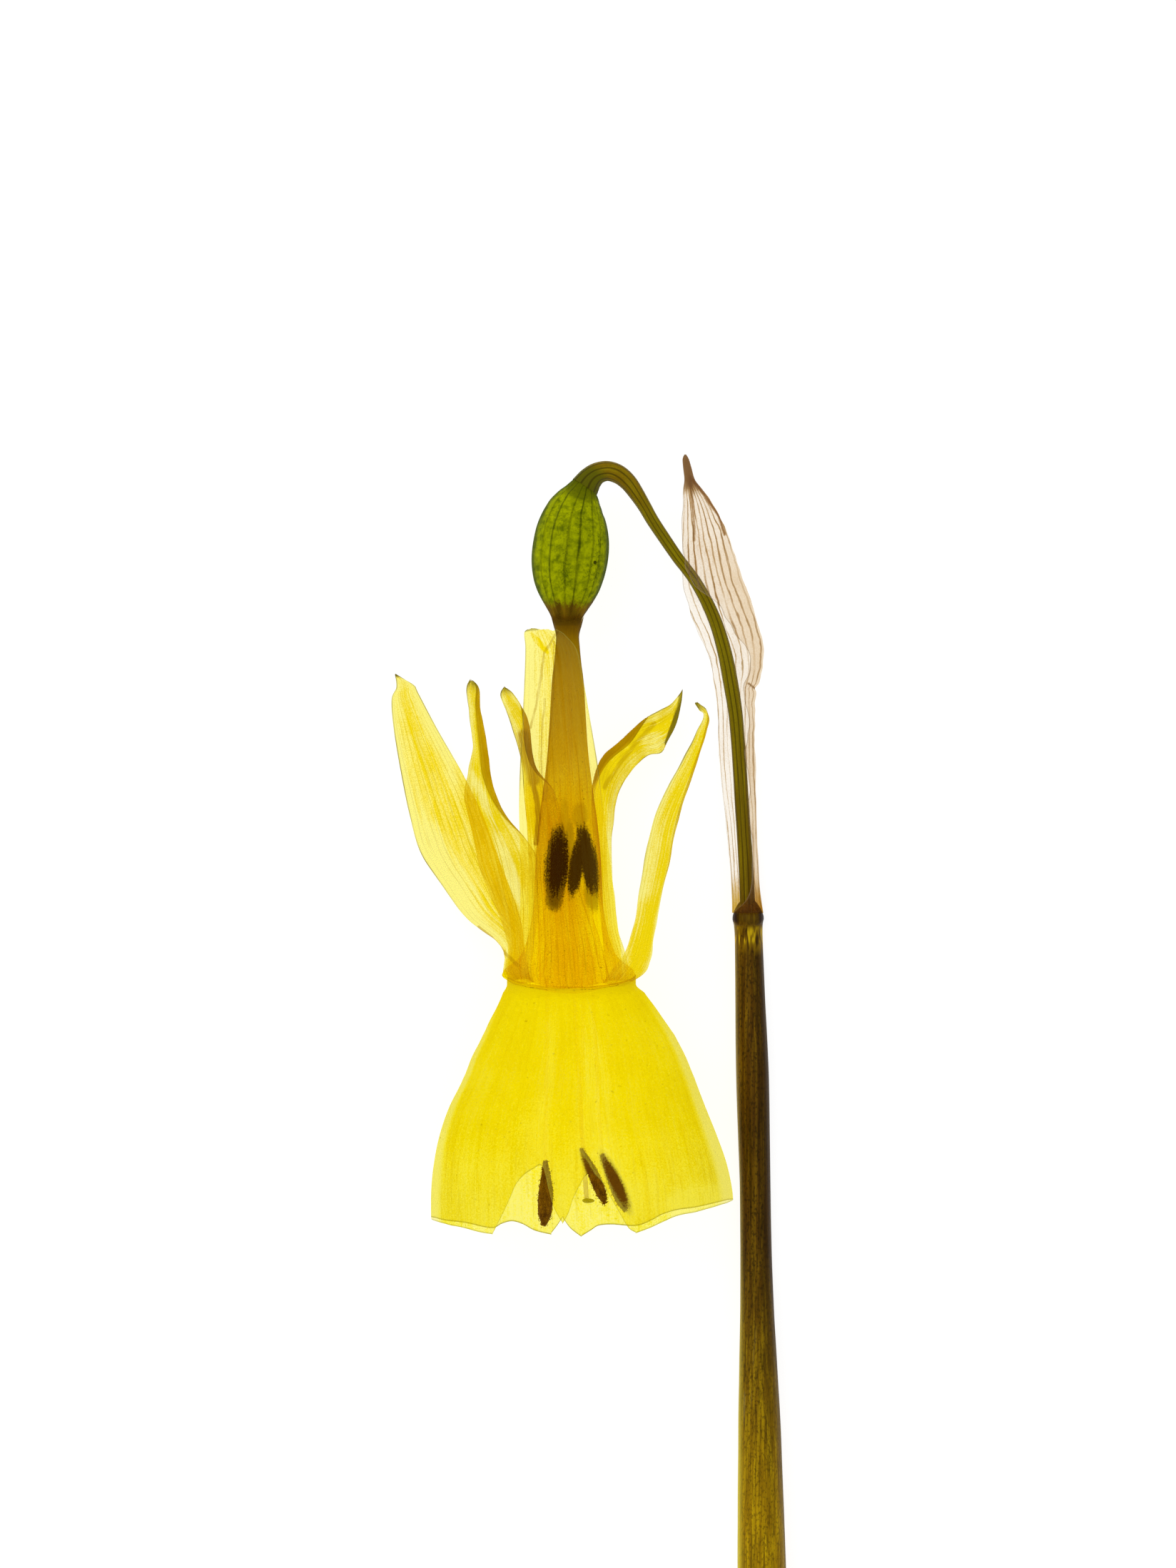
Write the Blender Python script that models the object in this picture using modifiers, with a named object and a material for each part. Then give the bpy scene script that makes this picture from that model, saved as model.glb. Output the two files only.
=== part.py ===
"""A single nodding daffodil flower on its cut stem, lying on a flat surface.

Every piece that a florist could pull apart is one object: stem, spathe, flower stalk, ovary, perianth tube,
six tepals, corona, six stamens (filament and anther) and the style. Run it with
blender --background --python part.py, or from Blender's text editor.

Lengths below are millimetres, turned to metres by MM when a mesh is made. The flower is drawn in a plan
frame: +Y runs from the mouth of the corona towards the ovary, +X is across the flower towards the stem, and
+Z is up from the surface. The middle of the tube's rim is X 0, Y 0. At the end everything is moved so that
the origin is on the surface, under the middle of the whole flower.
"""

import math

import bmesh
import bpy
import numpy as np
from mathutils import Vector

MM = 0.001

# Driving dimensions, in millimetres.
WALL = 0.6  # thickness of every petal-like sheet
GAP = 0.12  # clearance between neighbouring pieces
AXIS_HEIGHT = 7.2  # height of the flower's axis at the tube's rim
AXIS_SLOPE = 0.035  # how much the axis drops for each millimetre towards the ovary
CORONA_FLATNESS = (0.84, 0.60)  # height over width of the corona's foot, and of its mouth
TUBE_FLATNESS = 0.86  # height over width of the perianth tube below its neck

# The stem, from its cut end to the joint where the spathe starts: X, Y and radius.
STEM = [
    (16.50, -63.5, 2.10),
    (16.30, -49.0, 2.02),
    (16.10, -37.0, 1.76),
    (15.90, -27.0, 1.40),
    (15.75, -17.0, 1.29),
    (15.55, -8.5, 1.36),
    (15.35, -1.5, 1.24),
    (15.22, 3.4, 1.17),
    (15.16, 5.2, 1.36),
    (15.15, 5.9, 1.32),
]
STEM_REST = 0.90  # height of the centre over the radius, so that a narrow strip of the stem lies flat
CUT_BORE, CUT_BORE_DEPTH = 0.75, 4.0  # the hollow that shows at the cut end
CUT_SLANT = 0.35  # how far the cut leans, for each millimetre across

# The flower stalk, from the joint to the ovary: X, Y, Z and radius.
STALK = [
    (15.13, 6.05, 1.34, 0.60),
    (14.95, 10.0, 1.42, 0.60),
    (14.60, 15.5, 1.55, 0.58),
    (14.30, 20.5, 1.72, 0.58),
    (13.72, 25.4, 1.95, 0.57),
    (12.60, 30.2, 2.20, 0.55),
    (10.90, 33.6, 2.45, 0.52),
    (9.00, 36.2, 2.85, 0.50),
    (7.30, 38.8, 3.45, 0.50),
    (5.75, 41.3, 4.20, 0.62),
    (4.60, 42.8, 4.80, 0.78),
    (3.40, 43.3, 5.15, 0.82),
    (2.20, 42.98, 5.35, 0.92),
    (1.57, 42.45, 5.42, 1.02),
    (1.33, 42.04, 5.46, 1.10),
]

# The papery spathe: Y, X of the middle, half-width, half-depth, height of the middle, and how much of a half
# turn its lower flap and its upper flap each wrap from the right-hand side round to the left.
SPATHE = [
    (6.05, 15.12, 1.10, 1.08, 1.38, 0.97, 0.93),
    (7.50, 15.02, 1.12, 1.10, 1.40, 0.97, 0.85),
    (10.2, 14.76, 1.15, 1.12, 1.44, 0.96, 0.60),
    (15.0, 14.40, 1.30, 1.15, 1.50, 0.95, 0.35),
    (19.8, 14.19, 1.42, 1.22, 1.60, 0.94, 0.30),
    (24.0, 14.13, 1.62, 1.32, 1.70, 0.92, 0.32),
    (26.5, 14.10, 2.10, 1.45, 1.80, 0.90, 0.40),
    (29.5, 13.55, 2.42, 1.60, 1.92, 0.86, 0.50),
    (32.5, 12.55, 2.48, 1.75, 2.10, 0.82, 0.66),
    (35.5, 11.80, 2.30, 1.70, 2.25, 0.80, 0.78),
    (38.5, 11.40, 1.80, 1.40, 2.30, 0.84, 0.84),
    (41.0, 10.90, 1.15, 0.95, 2.25, 0.90, 0.90),
    (42.6, 10.30, 0.52, 0.50, 2.15, 0.93, 0.93),
    (44.3, 9.98, 0.38, 0.38, 2.05, 0.93, 0.93),
]

# The ovary: Y and radius. Then its midline, from the stalk to the tube.
OVARY = [
    (41.84, 1.10), (41.4, 1.60), (40.2, 2.42), (39.0, 2.90), (37.8, 3.14), (36.6, 3.24), (35.4, 3.18),
    (34.2, 2.97), (33.0, 2.58), (31.8, 1.86), (31.15, 1.38),
]
OVARY_LINE = [
    (1.22, 41.84, 5.50), (0.84, 41.2, 5.52), (0.48, 40.0, 5.58), (0.22, 37.8, 5.68), (0.0, 35.4, 5.82),
    (-0.09, 33.0, 5.96), (-0.14, 31.15, 6.05),
]
OVARY_RIBS, OVARY_RIB_HEIGHT = 6, 0.10

# The perianth tube: Y and half-width, from the ovary down to the rim where tepals and corona start.
TUBE = [
    (30.85, 1.34), (30.2, 1.18), (29.2, 0.98), (28.4, 1.02), (25.4, 1.42), (18.8, 1.93), (14.6, 2.10),
    (6.4, 3.00), (3.6, 3.55), (1.6, 4.15), (0.0, 4.95),
]

# The corona: Y, X of its middle and half-width, from its foot to its mouth.
CORONA = [
    (-0.12, 0.15, 5.55), (-0.6, 0.33, 6.03), (-1.8, 0.51, 6.75), (-3.0, 0.60, 7.50), (-4.2, 0.72, 8.22),
    (-6.0, 0.72, 9.15), (-7.8, 0.72, 9.90), (-10.2, 0.57, 10.95), (-12.6, 0.63, 11.85), (-15.0, 0.80, 12.57),
    (-17.4, 0.95, 12.87), (-21.5, 1.05, 12.90),
]

# The corona's rim, as X and Y: first the upper side from right to left, with its two deep clefts and the
# narrow flap between them, and then the lower side from left to right, with its one notch.
CORONA_RIM_UPPER = [
    (13.8, -18.0), (12.9, -18.4), (11.2, -18.9), (9.1, -19.2), (7.1, -19.8), (5.6, -20.5), (4.4, -19.2),
    (3.4, -17.4), (2.7, -16.0), (1.9, -15.4), (1.2, -15.9), (0.4, -18.0), (-0.5, -19.7), (-1.2, -18.4),
    (-1.7, -16.7), (-2.3, -14.8), (-3.6, -15.6), (-4.5, -16.8), (-5.3, -18.8), (-6.3, -20.6), (-8.0, -20.4),
    (-9.8, -20.0), (-11.1, -19.7),
]
CORONA_RIM_LOWER = [
    (-11.4, -19.6), (-10.6, -19.9), (-8.9, -20.2), (-6.4, -20.5), (-4.7, -20.1), (-3.0, -20.9), (-1.5, -21.3),
    (-0.5, -19.9), (0.3, -21.0), (1.1, -21.4), (2.4, -20.6), (4.0, -20.4), (5.6, -20.4), (7.6, -19.7),
    (9.9, -19.1), (12.0, -18.7), (13.3, -18.3),
]

# Each tepal's midline, as X, Y, Z, half-width and facing: 0 degrees lies flat, 90 stands on its edge.
TEPALS = {
    "tepal_top": [
        (0.1, 0.35, 11.95, 2.2, 0), (0.1, 1.2, 12.30, 2.9, 0), (0.1, 3.8, 12.35, 3.8, 0),
        (-0.1, 8.5, 12.10, 3.95, 0), (-0.4, 14.5, 11.70, 3.6, 0), (-0.9, 21.5, 11.30, 2.8, 3),
        (-1.4, 26.5, 11.00, 2.3, 5), (-1.7, 29.6, 10.85, 1.6, 8),
    ],
    "tepal_upper_left": [
        (-4.8, 0.5, 9.2, 1.9, 62), (-5.0, 1.8, 9.5, 2.3, 60), (-4.9, 4.8, 9.2, 2.8, 50),
        (-4.9, 8.4, 8.8, 3.2, 42), (-5.4, 11.6, 8.8, 3.3, 38), (-6.7, 15.2, 9.5, 2.9, 60),
        (-7.4, 19.0, 10.3, 2.2, 72), (-8.1, 24.9, 10.7, 0.6, 76),
    ],
    "tepal_lower_left": [
        (-4.7, 0.5, 4.60, 1.9, -62), (-5.2, 1.8, 4.00, 2.3, -58), (-6.2, 5.2, 2.85, 2.7, -40),
        (-8.2, 9.6, 1.75, 3.0, -22), (-10.0, 14.0, 1.05, 3.1, -12), (-11.7, 18.4, 0.70, 2.6, -7),
        (-13.3, 22.8, 0.50, 1.7, -4), (-14.5, 25.8, 0.42, 0.45, 0),
    ],
    "tepal_bottom": [
        (0.0, 0.5, 2.30, 1.9, 0), (0.0, 1.8, 1.70, 2.2, 0), (-0.5, 5.5, 0.85, 2.5, 0),
        (-1.5, 10.0, 0.60, 2.6, 0), (-2.7, 14.5, 0.95, 2.5, 25), (-3.8, 18.5, 1.45, 2.1, 50),
        (-4.7, 22.2, 1.55, 1.5, 62), (-5.5, 25.0, 1.50, 0.6, 66),
    ],
    "tepal_lower_right": [
        (4.7, 0.5, 4.60, 1.9, 62), (4.6, 1.8, 4.20, 2.3, 66), (3.6, 5.2, 3.40, 2.6, 74),
        (3.0, 9.5, 2.95, 2.6, 74), (3.2, 14.0, 2.80, 2.4, 66), (4.3, 18.2, 2.80, 2.1, 52),
        (6.6, 21.1, 2.80, 1.6, 50), (9.2, 23.7, 2.70, 0.6, 60),
    ],
    "tepal_upper_right": [
        (4.9, 0.5, 9.8, 1.8, -62), (5.4, 1.6, 10.2, 2.2, -64), (5.9, 4.0, 10.7, 2.5, -64),
        (6.7, 8.0, 11.1, 2.6, -66), (7.8, 12.6, 11.4, 2.5, -66), (9.2, 17.0, 11.6, 2.2, -66),
        (10.8, 20.8, 11.6, 1.7, -64), (11.0, 23.6, 11.5, 0.6, -60),
    ],
}
TEPAL_CUP = 0.22  # how deep a tepal is channelled, over its half-width

# Stamens: start of the filament, base of the anther and tip of the anther, as X, Y and height above the axis,
# and the anther's radius. Three reach out into the corona, and three stay in the tube.
STAMENS = {
    "long_left": ((-1.75, 4.6, 0.6), (-1.95, -14.7, 1.6), (-2.05, -20.0, 1.9), 0.62),
    "long_middle": ((1.30, 4.6, -1.2), (1.05, -13.8, -1.6), (3.05, -18.4, -1.9), 0.46),
    "long_right": ((1.75, 4.6, 1.0), (2.75, -14.2, 1.3), (4.75, -18.9, 1.4), 0.52),
    "short_left": ((-0.78, 16.4, 0.35), (-0.98, 12.9, 0.38), (-1.25, 7.1, 0.45), 0.50),
    "short_middle": ((0.22, 16.2, -0.72), (0.26, 12.4, -0.85), (0.62, 7.8, -1.05), 0.42),
    "short_right": ((0.62, 16.4, 0.45), (0.82, 12.9, 0.50), (1.42, 7.8, 0.60), 0.44),
}
FILAMENT_RADIUS = 0.22

# The style, from the foot of the ovary to the stigma: X, Y and height above the axis.
STYLE = [
    (-0.08, 30.9, 0.0), (0.05, 24.0, 0.0), (0.10, 14.0, 0.05), (0.25, 4.0, 0.1), (0.85, -8.0, 0.0),
    (1.55, -17.6, -0.1),
]
STYLE_RADIUS = 0.24
STIGMA_RADIUS, STIGMA_LENGTH = 0.62, 0.9

COLOURS = {
    "stem": (0.16, 0.095, 0.012),
    "spathe": (0.66, 0.50, 0.33),
    "stalk": (0.19, 0.13, 0.008),
    "ovary": (0.20, 0.23, 0.008),
    "tube": (0.70, 0.37, 0.01),
    "tepal": (0.90, 0.68, 0.06),
    "corona": (0.90, 0.70, 0.02),
    "filament": (0.93, 0.78, 0.16),
    "anther": (0.13, 0.055, 0.01),
    "style": (0.80, 0.62, 0.10),
}
ROUGHNESS = 0.55


# ---------------------------------------------------------------- curves and frames


def through(points, t):
    """Point at 0 <= t <= 1 of the Catmull-Rom curve through points, each of which is a row of numbers."""
    spans = len(points) - 1
    k = min(int(t * spans), spans - 1)
    f = t * spans - k
    a, b, c, d = (np.array(points[max(0, min(spans, k + i))], float) for i in (-1, 0, 1, 2))
    return 0.5 * (2 * b + (c - a) * f + (2 * a - 5 * b + 4 * c - d) * f**2 + (3 * b - 3 * c + d - a) * f**3)


def frame_at(points, t):
    """The curve's values at t, and unit vectors along it, across it and up. It is never upright itself."""
    step = 0.004
    here = through(points, t)
    ahead = through(points, min(t + step, 1.0))[:3] - through(points, max(t - step, 0.0))[:3]
    along = Vector(ahead).normalized()
    across = along.cross(Vector((0, 0, 1))).normalized()
    return here, along, across, across.cross(along)


def axis_height(y):
    """Height of the flower's axis above the surface."""
    return AXIS_HEIGHT - AXIS_SLOPE * y


# ---------------------------------------------------------------- meshes


def material(kind):
    found = bpy.data.materials.get(kind)
    if found:
        return found
    made = bpy.data.materials.new(kind)
    made.use_nodes = True
    shader = made.node_tree.nodes["Principled BSDF"]
    shader.inputs["Base Color"].default_value = (*COLOURS[kind], 1)
    shader.inputs["Roughness"].default_value = ROUGHNESS
    made.diffuse_color = (*COLOURS[kind], 1)
    return made


def bent_grid(place, columns, rows, wrap):
    """A flat grid whose point at u, v moves to place(u, v), with its side edges joined if it wraps round."""
    mesh = bmesh.new()
    bmesh.ops.create_grid(mesh, x_segments=columns, y_segments=rows, size=0.5)
    for vertex in mesh.verts:
        vertex.co = Vector(place(vertex.co.x + 0.5, vertex.co.y + 0.5)) * MM
    if wrap:
        bmesh.ops.remove_doubles(mesh, verts=mesh.verts, dist=1e-6)
    return mesh


def finish(mesh, name, kind):
    """Puts a bmesh into a named object, triangulated so that both faces of a sheet are split alike."""
    bmesh.ops.triangulate(mesh, faces=mesh.faces)
    bmesh.ops.recalc_face_normals(mesh, faces=mesh.faces)
    data = bpy.data.meshes.new(name)
    mesh.to_mesh(data)
    mesh.free()
    data.shade_smooth()
    data.set_sharp_from_angle(angle=math.radians(50))
    data.materials.append(material(kind))
    made = bpy.data.objects.new(name, data)
    flower.objects.link(made)
    return made


def sheet(name, kind, place, columns, rows, wrap=False):
    """A petal-like sheet of even thickness, with the bent grid at its middle."""
    made = finish(bent_grid(place, columns, rows, wrap), name, kind)
    thicken = made.modifiers.new("thickness", "SOLIDIFY")
    thicken.thickness = WALL * MM
    thicken.offset = 0.0
    thicken.use_even_offset = True
    return made


def body(name, kind, place, sides, rings):
    """A solid closed body: a grid wrapped into a tube, with both ends capped."""
    mesh = bent_grid(place, sides, rings, wrap=True)
    bmesh.ops.holes_fill(mesh, edges=[edge for edge in mesh.edges if edge.is_boundary], sides=0)
    return finish(mesh, name, kind)


def swept(points, radius_at, shape=lambda angle, t: 1.0):
    """place() for a body whose round section follows the curve through points."""

    def place(u, v):
        here, _, across, up = frame_at(points, v)
        angle = 2 * math.pi * u
        reach = radius_at(here, v) * shape(angle, v)
        return Vector(here[:3]) + (across * math.cos(angle) + up * math.sin(angle)) * reach

    return place


def settled(place, lowest):
    """The same place(), with what would be below lowest pressed flat against that height."""

    def pressed(u, v):
        point = place(u, v)
        return Vector((point[0], point[1], max(point[2], lowest)))

    return pressed


# ---------------------------------------------------------------- pieces


def make_stem():
    """The stem, with the joint's collar at its top, and its slanting cut end with the hollow core."""
    centre = [(x, y, STEM_REST * radius, radius) for x, y, radius in STEM]
    round_stem = settled(swept(centre, lambda here, t: here[3]), 0.0)

    def place(u, v):
        point = round_stem(u, v)
        if v == 0:
            point.y += CUT_SLANT * (point.x - STEM[0][0])
        return point

    stem = body("stem", "stem", place, 16, 30)
    x, y, radius = STEM[0]
    height = STEM_REST * radius
    bpy.ops.mesh.primitive_cylinder_add(
        vertices=12, radius=CUT_BORE * MM, depth=2 * CUT_BORE_DEPTH * MM,
        location=(x * MM, y * MM, height * MM), rotation=(math.pi / 2, 0, 0),
    )
    bore = bpy.context.object
    bore.name = "cut_end_bore"
    bore.hide_render = True
    bore.display_type = "WIRE"
    for collection in list(bore.users_collection):
        collection.objects.unlink(bore)
    cutters.objects.link(bore)
    cut = stem.modifiers.new("hollow", "BOOLEAN")
    cut.operation = "DIFFERENCE"
    cut.solver = "EXACT"
    cut.object = bore


def make_stalk():
    """The thin stalk that leaves the spathe and hooks over to the ovary."""
    body("flower_stalk", "stalk", swept(STALK, lambda here, t: here[3]), 10, 40)


def make_spathe():
    """A papery sheath, closed round the stalk at its foot and open on the left, where the stalk leaves."""

    def place(u, v):
        y, x, half_width, half_depth, height, lower, upper = through(SPATHE, v)
        angle = math.pi * (u * upper - (1 - u) * lower)
        return (x + half_width * math.cos(angle), y, height + half_depth * math.sin(angle))

    sheet("spathe", "spathe", settled(place, WALL / 2), 16, 26)


def make_ovary():
    """The egg-shaped ovary, with a shallow rib along each of its seams."""
    ys, radii = zip(*reversed(OVARY))

    def radius(here, t):
        return float(np.interp(here[1], ys, radii))

    def ribs(angle, t):
        return 1 + OVARY_RIB_HEIGHT * math.sin(math.pi * t) * (math.cos(OVARY_RIBS * angle) - 1) / 2

    body("ovary", "ovary", swept(OVARY_LINE, radius, ribs), 36, 16)


def tube_place(inset, first, last):
    """place() on the tube, or inset inside it, between two values of Y."""
    ys, widths = zip(*reversed(TUBE))

    def place(u, v):
        y = first + (last - first) * v
        width = float(np.interp(y, ys, widths)) - inset
        depth = width * (TUBE_FLATNESS + (1 - TUBE_FLATNESS) * min(1, max(0, (y - 20) / 10)))
        angle = 2 * math.pi * u
        return (-0.1 * min(1, y / 30) + width * math.cos(angle), y, axis_height(y) + depth * math.sin(angle))

    return place


def make_tube():
    """The long perianth tube, open at both ends and flared at its rim."""
    sheet("perianth_tube", "tube", tube_place(WALL / 2, TUBE[0][0], GAP), 28, 20, wrap=True)


def make_corona():
    """The flared corona, pressed a little oval, with its cleft rim."""
    rim = CORONA_RIM_UPPER + CORONA_RIM_LOWER
    count = len(rim)
    ys, middles, widths = zip(*reversed(CORONA))
    foot, mouth = CORONA_FLATNESS

    def section(y):
        return (float(np.interp(y, ys, values)) for values in (middles, widths))

    def turn(k):
        x, y = rim[k]
        middle, width = section(y)
        side = math.acos(max(-1, min(1, (x - middle) / width)))
        return side if k < len(CORONA_RIM_UPPER) else -side

    def place(u, v):
        k = round(u * count) % count
        y = CORONA[0][0] + v * (rim[k][1] - CORONA[0][0])
        middle, width = section(y)
        width -= WALL / 2
        depth = width * (foot + (mouth - foot) * min(1, y / CORONA[-2][0]))
        return (middle + width * math.cos(turn(k)), y, axis_height(y) + depth * math.sin(turn(k)))

    sheet("corona", "corona", settled(place, WALL / 2), count, 11, wrap=True)


def make_tepals():
    for name, midline in TEPALS.items():

        def place(u, v, midline=midline):
            here, _, across, up = frame_at(midline, v)
            half_width, facing = here[3], math.radians(here[4])
            side = across * math.cos(facing) + up * math.sin(facing)
            face = up * math.cos(facing) - across * math.sin(facing)
            w = 2 * u - 1
            cup = TEPAL_CUP * half_width * (w * w - 0.4)
            return Vector(here[:3]) + side * (w * half_width) + face * cup

        sheet(name, "tepal", settled(place, WALL / 2), 6, 16)


def make_stamens():
    for name, (start, base, tip, radius) in STAMENS.items():
        start, base, tip = (Vector((x, y, axis_height(y) + rise)) for x, y, rise in (start, base, tip))
        away = (base - tip).normalized()
        bow = start.lerp(base, 0.5) + Vector((0, 0, 0.1))
        line = [start, bow, base + away * GAP]
        body("filament_" + name, "filament", swept(line, lambda here, t: FILAMENT_RADIUS), 8, 8)

        def spindle(here, t, radius=radius):
            return radius * (0.3 + 0.7 * math.sin(math.pi * t) ** 0.6)

        body("anther_" + name, "anther", swept([base, base.lerp(tip, 0.5), tip], spindle), 12, 10)


def make_style():
    """The slender style, ending in a three-lobed stigma."""
    line = [(x, y, axis_height(y) + rise) for x, y, rise in STYLE]
    stigma_start = 1 - STIGMA_LENGTH / (STYLE[0][1] - STYLE[-1][1])

    def radius(here, t):
        share = max(0, (t - stigma_start) / (1 - stigma_start))
        return STYLE_RADIUS + (STIGMA_RADIUS - STYLE_RADIUS) * share

    def lobes(angle, t):
        return 1 + (0.3 * math.cos(3 * angle) if t > stigma_start else 0)

    body("style", "style", swept(line, radius, lobes), 12, 40)


def centre_on_surface():
    """Moves the flower so that the origin is on the surface, under the middle of its bounding box."""
    bpy.context.view_layer.update()
    graph = bpy.context.evaluated_depsgraph_get()
    corners = [
        piece.matrix_world @ Vector(corner)
        for piece in flower.objects
        for corner in piece.evaluated_get(graph).bound_box
    ]
    middle = [(min(c[i] for c in corners) + max(c[i] for c in corners)) / 2 for i in (0, 1)]
    for piece in (*flower.objects, *cutters.objects):
        piece.location.x -= middle[0]
        piece.location.y -= middle[1]
    print("plan frame's origin is now at", [round(-value / MM, 3) for value in middle], "mm")


for old in list(bpy.data.objects):
    bpy.data.objects.remove(old)
flower = bpy.data.collections.new("daffodil_flower")
cutters = bpy.data.collections.new("cutters")
bpy.context.scene.collection.children.link(flower)
bpy.context.scene.collection.children.link(cutters)

make_stem()
make_stalk()
make_spathe()
make_ovary()
make_tube()
make_corona()
make_tepals()
make_stamens()
make_style()
centre_on_surface()
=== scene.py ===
# %% [markdown]
# # A daffodil flower on its cut stem
#
# The packed solids of the flower are the fixed frame. They have the right sizes, but thick petals and one plain
# colour each. This lesson dresses them: every piece gets a thin, finely curved surface and a finish that lets light
# through, as a real petal does.

import functools
import math

import bpy
import numpy as np
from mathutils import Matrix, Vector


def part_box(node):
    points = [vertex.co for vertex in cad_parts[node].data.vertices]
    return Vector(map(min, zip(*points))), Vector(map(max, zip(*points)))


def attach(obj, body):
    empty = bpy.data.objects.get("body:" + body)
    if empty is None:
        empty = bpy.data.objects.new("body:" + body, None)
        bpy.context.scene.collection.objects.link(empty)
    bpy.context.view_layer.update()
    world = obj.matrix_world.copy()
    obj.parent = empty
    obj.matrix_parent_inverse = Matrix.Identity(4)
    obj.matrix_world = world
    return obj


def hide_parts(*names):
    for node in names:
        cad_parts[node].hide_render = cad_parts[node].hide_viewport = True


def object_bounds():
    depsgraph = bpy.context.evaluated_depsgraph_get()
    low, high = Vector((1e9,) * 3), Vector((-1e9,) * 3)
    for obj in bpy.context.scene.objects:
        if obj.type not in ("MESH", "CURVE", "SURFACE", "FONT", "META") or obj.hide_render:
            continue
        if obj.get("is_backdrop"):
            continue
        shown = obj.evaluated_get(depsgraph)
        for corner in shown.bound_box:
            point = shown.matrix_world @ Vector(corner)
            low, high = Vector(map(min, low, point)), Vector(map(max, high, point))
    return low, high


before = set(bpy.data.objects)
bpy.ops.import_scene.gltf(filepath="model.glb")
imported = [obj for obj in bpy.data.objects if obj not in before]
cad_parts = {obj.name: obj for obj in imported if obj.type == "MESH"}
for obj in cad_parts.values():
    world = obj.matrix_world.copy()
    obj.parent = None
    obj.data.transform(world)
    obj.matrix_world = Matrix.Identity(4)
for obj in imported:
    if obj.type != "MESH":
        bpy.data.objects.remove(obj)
cad_low, cad_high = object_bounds()
print("nodes:", len(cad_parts))

# %% [markdown]
# ## Where things are
#
# A flower is easiest to draw in its own plan, in millimetres: Y runs from the mouth of the corona towards the
# ovary, X across, Z up from the table. The middle of the perianth tube's rim is the plan's zero, and the frame says
# where that is, so every surface below is drawn in the plan and then carried to its place in one step.

# %% The plan's zero, from the frame
MM = 0.001
rim_low, rim_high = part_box("perianth_tube")
HOME = np.array([(rim_low[0] + rim_high[0]) / 2, rim_low[1], 0.0])
print("the rim's middle is at", HOME / MM, "mm")

# %% [markdown]
# ## Table
#
# The flower lies on a pale, softly glowing table, the kind used for looking at pressed plants. Light from below is
# what makes petals shine, so the table's own glow does most of the work. Lamps under a sheet of glass could do the
# same, but a plane that gives off light is simpler and quite even.

# %% Table
TABLE_SIZE, TABLE_GLOW = 1.6, 0.86
TABLE_DROP = 0.05 * MM  # keeps the table just clear of what lies on it


def glowing(name, settings):
    """A finish that gives off white light. settings are the other sockets of its Principled shader."""
    finish = bpy.data.materials.new(name)
    finish.use_nodes = True
    sockets = finish.node_tree.nodes["Principled BSDF"].inputs
    for socket, value in {"Emission Color": (1, 1, 1, 1), **settings}.items():
        sockets[socket].default_value = value
    return finish


bpy.ops.mesh.primitive_plane_add(size=TABLE_SIZE, location=(0, 0.02, -TABLE_DROP))
table = bpy.context.object
table.name = "table"
table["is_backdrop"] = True
table.data.materials.append(glowing("glowing table", {
    "Base Color": (0.34, 0.34, 0.34, 1), "Roughness": 0.8, "Specular IOR Level": 0.1,
    "Emission Strength": TABLE_GLOW,
}))
print("table:", TABLE_SIZE, "m across")

# %% [markdown]
# ## Backdrop
#
# Seen from low down, the table ends, and the empty room would show above it as a grey band. A white dome round
# everything hides that edge. It would also flood the flower with light from all sides, so it is hidden from every
# ray but those that leave the camera.

# %% Backdrop
DOME_SIZE, DOME_GLOW = 2.5, 1.02
bpy.ops.mesh.primitive_uv_sphere_add(segments=48, ring_count=24, radius=DOME_SIZE)
dome = bpy.context.object
dome.name = "backdrop"
for ray in ("diffuse", "glossy", "transmission", "volume_scatter", "shadow"):
    setattr(dome, "visible_" + ray, False)
dome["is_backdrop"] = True
dome.data.materials.append(glowing("white backdrop", {
    "Base Color": (0, 0, 0, 1), "Specular IOR Level": 0, "Emission Strength": DOME_GLOW,
}))
print("dome:", DOME_SIZE, "m round the table's middle")

# %% [markdown]
# ## Light
#
# A dim, even room fills the shadows, and one wide soft lamp above gives the rounded pieces a little shape. A small
# lamp would draw hard shadows, which nothing on a table that is lit from below has.

# %% Light
ROOM_GLOW, LAMP_SIZE, LAMP_WATTS = 0.5, 0.5, 0.7
world = bpy.data.worlds.new("room")
world.use_nodes = True
room = world.node_tree.nodes["Background"].inputs
room["Color"].default_value, room["Strength"].default_value = (1.0, 1.0, 1.0, 1), ROOM_GLOW
bpy.context.scene.world = world
lamp_data = bpy.data.lights.new("soft lamp", "AREA")
lamp_data.shape, lamp_data.size, lamp_data.energy = "DISK", LAMP_SIZE, LAMP_WATTS
lamp = bpy.data.objects.new("soft lamp", lamp_data)
lamp.location = (-0.28, 0.32, 0.55)
lamp.rotation_euler = (-lamp.location).to_track_quat("-Z", "Y").to_euler()
bpy.context.scene.collection.objects.link(lamp)
bpy.context.scene.view_settings.view_transform = "Standard"
print("lamp:", LAMP_SIZE, "m across,", round(lamp.location.length, 2), "m away")

# %% [markdown]
# ## Camera
#
# The camera looks straight down on the flower from far away, through a long lens, so that nothing leans. An
# orthographic camera would do it too, but this one keeps a trace of depth.

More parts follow.
